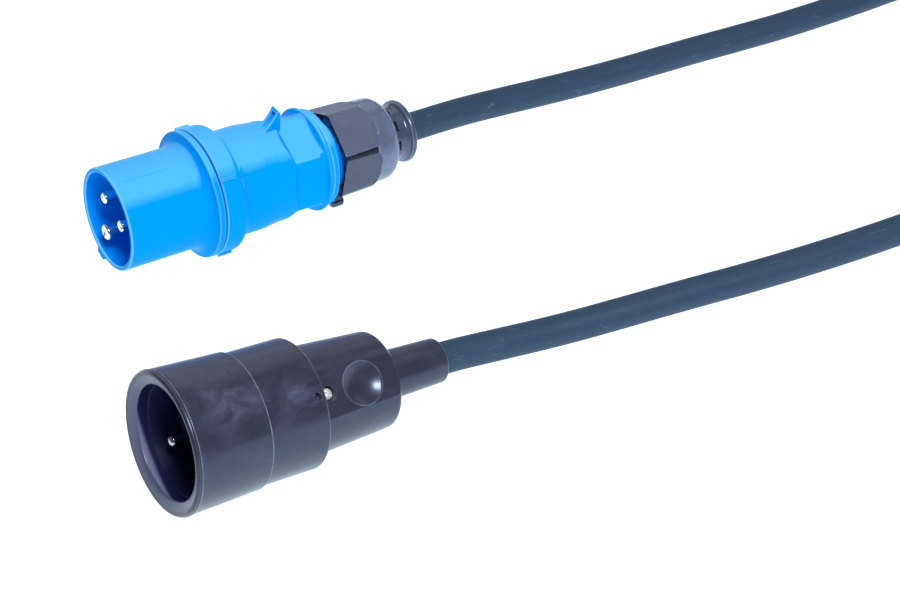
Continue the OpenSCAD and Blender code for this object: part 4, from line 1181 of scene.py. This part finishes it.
def coil_points(cable):
    """A turn and a half, clockwise from above: the outer turn moves in beside itself on the far side."""
    outer, inner = cable.coil_radius + cable.diameter / 2, cable.coil_radius - cable.diameter / 2
    points = []
    for turn in range(COIL_START, COIL_END + 1, COIL_STEP):
        radius = outer + (inner - outer) * smooth_step(190, 350, turn)
        a = radians(turn)
        points.append(COIL_CENTRE + Vector((radius * sin(a), radius * cos(a), cable.coil_height)))
    return points


def smooth_path(points, step):
    """A curve through points, as places about a step apart."""
    points = [Vector(p) for p in points]
    ends = [2 * points[0] - points[1]] + points + [2 * points[-1] - points[-2]]
    path = []
    for before, start, end, after in zip(ends, ends[1:], ends[2:], ends[3:]):
        knots = [0.0]
        for a, b in ((before, start), (start, end), (end, after)):
            knots.append(knots[-1] + sqrt((b - a).length))
        count = max(1, round((end - start).length / step))
        for i in range(count):
            t = knots[1] + (knots[2] - knots[1]) * i / count
            path.append(catmull_rom((before, start, end, after), knots, t))
    return path + [points[-1]]


def catmull_rom(points, knots, t):
    """A place on the curve between the middle two of four points."""
    line = points
    for width in (1, 2):
        line = [
            a.lerp(b, (t - knots[i]) / (knots[i + width] - knots[i]))
            for i, (a, b) in enumerate(zip(line, line[1:]))
        ]
    return line[0].lerp(line[1], (t - knots[1]) / (knots[2] - knots[1]))


def cable_tube(cable, path, material, sides=40):
    """A round tube along a path, with a map in metres along and round it."""
    radius = cable.diameter / 2
    vertices, travel = [], [0.0]
    for i, place in enumerate(path):
        along = (path[min(i + 1, len(path) - 1)] - path[max(i - 1, 0)]).normalized()
        side = along.cross(Vector((0, 0, 1))).normalized()
        over = side.cross(along)
        for k in range(sides):
            a = tau * k / sides
            vertices.append(place + radius * (cos(a) * side + sin(a) * over))
        if i:
            travel.append(travel[-1] + (place - path[i - 1]).length)
    faces = [
        (i * sides + k, i * sides + (k + 1) % sides, (i + 1) * sides + (k + 1) % sides, (i + 1) * sides + k)
        for i in range(len(path) - 1)
        for k in range(sides)
    ]
    last = (len(path) - 1) * sides
    faces += [tuple(range(sides))[::-1], tuple(range(last, last + sides))]
    mesh = bpy.data.meshes.new("cable")
    mesh.from_pydata([tuple(v) for v in vertices], [], faces)
    mesh.materials.append(material)
    layer = mesh.uv_layers.new(name="metres")
    around = tau * radius / sides
    for polygon in mesh.polygons:
        for corner in polygon.loop_indices:
            i, k = divmod(mesh.loops[corner].vertex_index, sides)
            wraps = polygon.loop_total == 4 and k == 0 and polygon.index % sides == sides - 1
            layer.data[corner].uv = (travel[i], around * (sides if wraps else k))
    mesh.shade_smooth()
    mesh.set_sharp_from_angle(angle=radians(60))
    return add_object("cable", mesh)


def coil_strap(cable, material):
    """A closed strap round both strands of the coil."""
    across, half_width = cable.diameter / 2, cable.strap_width / 2
    middle = COIL_CENTRE + Vector((cable.coil_radius, 0, cable.coil_height))
    inner = cable.diameter / 2 + 0.05 * MM
    steps = 16
    outline = []
    for sign, start in ((1, -90), (-1, 90)):
        for i in range(steps + 1):
            a = radians(start + 180 * i / steps)
            outline.append((sign * across, a))
    vertices = []
    for y in (-half_width, half_width):
        for radius in (inner, inner + cable.strap_thickness - 0.05 * MM):
            for x, a in outline:
                vertices.append(middle + Vector((x + radius * cos(a), y, radius * sin(a))))
    n = len(outline)
    faces = []
    for i in range(n):
        j = (i + 1) % n
        faces += [
            (i, j, 2 * n + j, 2 * n + i), (n + i, 3 * n + i, 3 * n + j, n + j),
            (i, n + i, n + j, j), (2 * n + i, 2 * n + j, 3 * n + j, 3 * n + i),
        ]
    return mesh_object("coil_strap", vertices, faces, material, sharp=50)


# Operators


class LeadOperator:
    """What the lead's operators share"""

    bl_options = {"REGISTER", "UNDO"}

    def execute(self, context):
        self.build(context.scene)
        return {"FINISHED"}


FLOOR_HALF = 4.0
# Where each softbox stands, and its diameter
SOFTBOXES = {
    "overhead": ((0.6, 1.75, 1.5), 2.6),
    "side": ((1.25, 0.1, 0.9), 0.9),
    "key": ((-0.1, -0.85, 1.42), 0.46),
}


class LEAD_OT_stage(LeadOperator, bpy.types.Operator):
    """Set up the floor, the lights and the camera"""

    bl_idname = "lead.stage"
    bl_label = "Stage"

    def build(self, scene):
        look = scene.lead_stage
        scene.view_settings.view_transform = "Standard"
        glow = Finish("floor_white", Base_Color=(0, 0, 0, 1), Specular_IOR_Level=0)
        glow.set(Emission_Color=(*look.floor_colour, 1), Emission_Strength=look.floor_light)
        corners = [(x * FLOOR_HALF, y * FLOOR_HALF, 0) for x, y in ((-1, -1), (1, -1), (1, 1), (-1, 1))]
        floor = mesh_object("floor", corners, [(0, 1, 2, 3)], glow.material)
        world = bpy.data.worlds.new("studio")
        world.use_nodes = True
        background = world.node_tree.nodes["Background"].inputs
        background["Color"].default_value = (1, 1, 1, 1)
        background["Strength"].default_value = look.room_light
        scene.world = world
        for name, (place, size) in SOFTBOXES.items():
            self.light(name, place, size, getattr(look, name + "_light"), look.light_colour)
        camera = bpy.data.objects.new("camera", bpy.data.cameras.new("camera"))
        camera.location = look.camera_place
        camera.rotation_euler = (pi / 2 - look.camera_pitch, 0, look.camera_yaw)
        camera.data.lens = look.lens
        scene.collection.objects.link(camera)
        scene.camera = camera

    @staticmethod
    def light(name, place, size, brightness, rgb):
        """A round softbox of an even brightness that faces the middle of the two connectors."""
        lamp = bpy.data.objects.new(name, bpy.data.lights.new(name, "AREA"))
        lamp.data.shape, lamp.data.size = "DISK", size
        lamp.data.energy = brightness * pi * pi * size * size / 4
        lamp.data.color = rgb
        lamp.location = place
        lamp.rotation_euler = (-Vector(place)).to_track_quat("-Z", "Y").to_euler()
        bpy.context.scene.collection.objects.link(lamp)


class LEAD_OT_cable(LeadOperator, bpy.types.Operator):
    """Lay the cable from the plug to the socket, with its coil and strap"""

    bl_idname = "lead.cable"
    bl_label = "Cable"

    def build(self, scene):
        cable, colours = scene.lead_cable, scene.lead_colours
        route = PLUG_ROUTE + coil_points(cable) + SOCKET_ROUTE[::-1]
        path = smooth_path(route, 3 * MM)
        piece = cable_tube(cable, path, sheath_finish(colours))
        put(piece, "lead", "cable_rubber", "cable_plug_run", "cable_coil", "cable_socket_run")
        strap = coil_strap(cable, weave_finish("strap_black", (0.02, 0.02, 0.022)))
        put(strap, "lead", "tie_plastic", "coil_tie")
        PLUG.point(120 * MM)


class LEAD_OT_plug_shell(LeadOperator, bpy.types.Operator):
    """Mould the plug's shroud and housing"""

    bl_idname = "lead.plug_shell"
    bl_label = "Plug shell"

    def build(self, scene):
        sizes, colours = scene.lead_plug, scene.lead_colours
        blue = shell_blue_finish("shell_blue", colours.shell_blue, colours.shell_painted_sheen, colours.shell_painted_highlight)
        # Painted shade: a darker copy of the blue for inside the shroud
        deep = shell_blue_finish("shell_painted_shade", colours.shell_painted_shade, colours.shell_painted_shade, colours.shell_blue)
        put(shroud_moulding(sizes, blue, deep), "lead", "blue_plastic", "plug_shroud")
        put(housing_moulding(sizes, scene.lead_gland, blue), "lead", "blue_plastic", "plug_housing")


class LEAD_OT_plug_pins(LeadOperator, bpy.types.Operator):
    """Turn the plug's three pins"""

    bl_idname = "lead.plug_pins"
    bl_label = "Plug pins"

    def build(self, scene):
        sizes, colours = scene.lead_plug, scene.lead_colours
        nickel = metal_finish("pin_nickel", colours.nickel)
        earth_tip = PLUG.point(EARTH_PIN_TIP, sizes.pin_circle, sizes.earth_angle)
        worn = metal_finish("earth_nickel", colours.nickel, bare=earth_tip, bare_rgb=colours.copper)
        for i, (name, slot, radius, tip, metal) in enumerate((
            ("earth_pin", "brass", sizes.earth_pin_radius, EARTH_PIN_TIP, worn),
            ("neutral_pin", "nickel", sizes.pin_radius, PIN_TIP, nickel),
            ("line_pin", "nickel", sizes.pin_radius, PIN_TIP, nickel),
        )):
            angle = sizes.earth_angle + 120 * i
            piece = turned_pin(name + "_turned", PLUG, tip, radius, sizes.pin_circle, angle, PIN_END, metal)
            put(piece, "lead", slot, name)


class LEAD_OT_gland(LeadOperator, bpy.types.Operator):
    """Mould the gland's nut and bell mouth"""

    bl_idname = "lead.gland"
    bl_label = "Gland"

    def build(self, scene):
        gland, colours = scene.lead_gland, scene.lead_colours
        grained = grained_black_finish("nut_black", colours.nut_black)
        # Painted light: the polished strips facing up take the grained flats' lighter colour
        polished = polished_black_finish("nut_gloss", colours.nut_gloss, 1, colours.nut_black)
        # Painted sheen: the dome is a lighter copy of the nut's plastic, standing for its reflections
        domed = polished_black_finish("nut_dome_painted_sheen", tinted(colours.nut_black, 1.6), 1)
        # Painted shade: a near-black copy of the polished plastic for the nut's front face
        deep = polished_black_finish("nut_painted_shade", tinted(colours.nut_gloss, 0.4), 0.05)
        put(nut_moulding(gland, grained, polished, domed, deep), "nut", "black_plastic", "gland_nut")
        smooth = polished_black_finish("bell_black", colours.bell_black, 0.8)
        put(bell_mouth(gland, scene.lead_cable, smooth), "sleeve", "black_plastic", "bell_mouth_sleeve")


class LEAD_OT_socket_shell(LeadOperator, bpy.types.Operator):
    """Mould the socket's hood and handle"""

    bl_idname = "lead.socket_shell"
    bl_label = "Socket shell"

    def build(self, scene):
        sizes, colours = scene.lead_socket, scene.lead_colours
        dimple = SOCKET.point(sizes.dimple_at, 19 * MM, sizes.thumb_angle)
        rubber, deep = socket_rubber_finish(colours, dimple), rubber_painted_shade_finish(colours)
        put(hood_moulding(sizes, rubber, deep), "lead", "black_rubber", "socket_hood")
        put(handle_moulding(sizes, scene.lead_cable, rubber), "lead", "black_rubber", "socket_handle")


class LEAD_OT_socket_metal(LeadOperator, bpy.types.Operator):
    """Turn the socket's earth pin and fixing screws"""

    bl_idname = "lead.socket_metal"
    bl_label = "Socket metal"

    def build(self, scene):
        sizes, plating = scene.lead_socket, scene.lead_colours.nickel
        nickel = metal_finish("socket_nickel", plating, rough=(0.4, 0.52), metallic=0.5)
        # Painted shade: a darker copy of the plating for the earth pin deep in the hood
        shaded_plating = metal_finish("socket_pin_painted_shade", tinted(plating, 0.45))
        pin = turned_pin(
            "socket_earth_pin_turned", SOCKET, sizes.face_depth - SOCKET_PIN_OUT, sizes.earth_pin_radius,
            SOCKET_PIN_CIRCLE, sizes.thumb_angle + 180, SOCKET_PIN_END, shaded_plating, slit=False, round_off=0.85,
        )
        put(pin, "lead", "nickel", "socket_earth_pin")
        angles = (sizes.thumb_angle, sizes.thumb_angle + 180)
        near, far = [fixing_screw("fixing_screws_turned", sizes, angle, nickel) for angle in angles]
        take_in(near, far)
        put(near, "lead", "nickel", "socket_fixing_screws")


class LEAD_OT_inner_parts(LeadOperator, bpy.types.Operator):
    """Give the parts inside the connectors their finishes"""

    bl_idname = "lead.inner_parts"
    bl_label = "Inner parts"

    def build(self, scene):
        brass = metal_finish("terminal_brass", (0.78, 0.58, 0.3))
        steel = metal_finish("screw_steel", (0.6, 0.6, 0.58), (0.25, 0.4))
        block = plain_plastic_finish("contact_block", (0.012, 0.013, 0.02))
        white = plain_plastic_finish("retainer_white", (0.75, 0.75, 0.7))
        grey = plain_plastic_finish("clamp_grey", (0.16, 0.16, 0.17))
        seal = plain_plastic_finish("seal_rubber", (0.02, 0.02, 0.022), 0.7)
        cores = {
            "line": plain_plastic_finish("core_brown", (0.16, 0.06, 0.025)),
            "neutral": plain_plastic_finish("core_blue", (0.02, 0.12, 0.5)),
            "earth": plain_plastic_finish("core_green_yellow", (0.3, 0.5, 0.04)),
        }
        finishes = {
            "pin_retainer": white, "gland_clamp": grey, "gland_seal": seal, "socket_insert": block,
            "cord_clamp_bar": block, "socket_line_contact": brass, "socket_neutral_contact": brass,
            "plug_terminal_screws": steel, "socket_terminal_screws": steel, "cord_clamp_screws": steel,
        }
        for end in ("plug", "socket"):
            for core, finish in cores.items():
                finishes[f"{end}_{core}_core"] = finish
        for node, finish in finishes.items():
            repaint(node, finish)


OPERATORS = (
    LEAD_OT_stage,
    LEAD_OT_cable,
    LEAD_OT_plug_shell,
    LEAD_OT_plug_pins,
    LEAD_OT_gland,
    LEAD_OT_socket_shell,
    LEAD_OT_socket_metal,
    LEAD_OT_inner_parts,
)

SETTINGS = {
    "lead_plug": PlugSizes,
    "lead_gland": GlandSizes,
    "lead_socket": SocketSizes,
    "lead_cable": CableSizes,
    "lead_colours": LeadColours,
    "lead_stage": StageLook,
}


class LEAD_PT_panel(bpy.types.Panel):
    """Lists the lead's pieces and their settings"""

    bl_idname = "LEAD_PT_panel"
    bl_label = "Power adapter lead"
    bl_space_type = "VIEW_3D"
    bl_region_type = "UI"
    bl_category = "Lead"

    def draw(self, context):
        for operator in OPERATORS:
            self.layout.operator(operator.bl_idname)
        for name, group in SETTINGS.items():
            box = self.layout.box()
            box.label(text=group.__doc__)
            for prop in group.__annotations__:
                box.prop(getattr(context.scene, name), prop)


CLASSES = (*SETTINGS.values(), *OPERATORS, LEAD_PT_panel)


def register():
    for cls in CLASSES:
        bpy.utils.register_class(cls)
    for name, group in SETTINGS.items():
        setattr(bpy.types.Scene, name, PointerProperty(type=group))


def unregister():
    for name in SETTINGS:
        delattr(bpy.types.Scene, name)
    for cls in reversed(CLASSES):
        bpy.utils.unregister_class(cls)


def main():
    register()
    for operator in OPERATORS:
        group, name = operator.bl_idname.split(".")
        getattr(getattr(bpy.ops, group), name)()


if __name__ == "__main__":
    main()
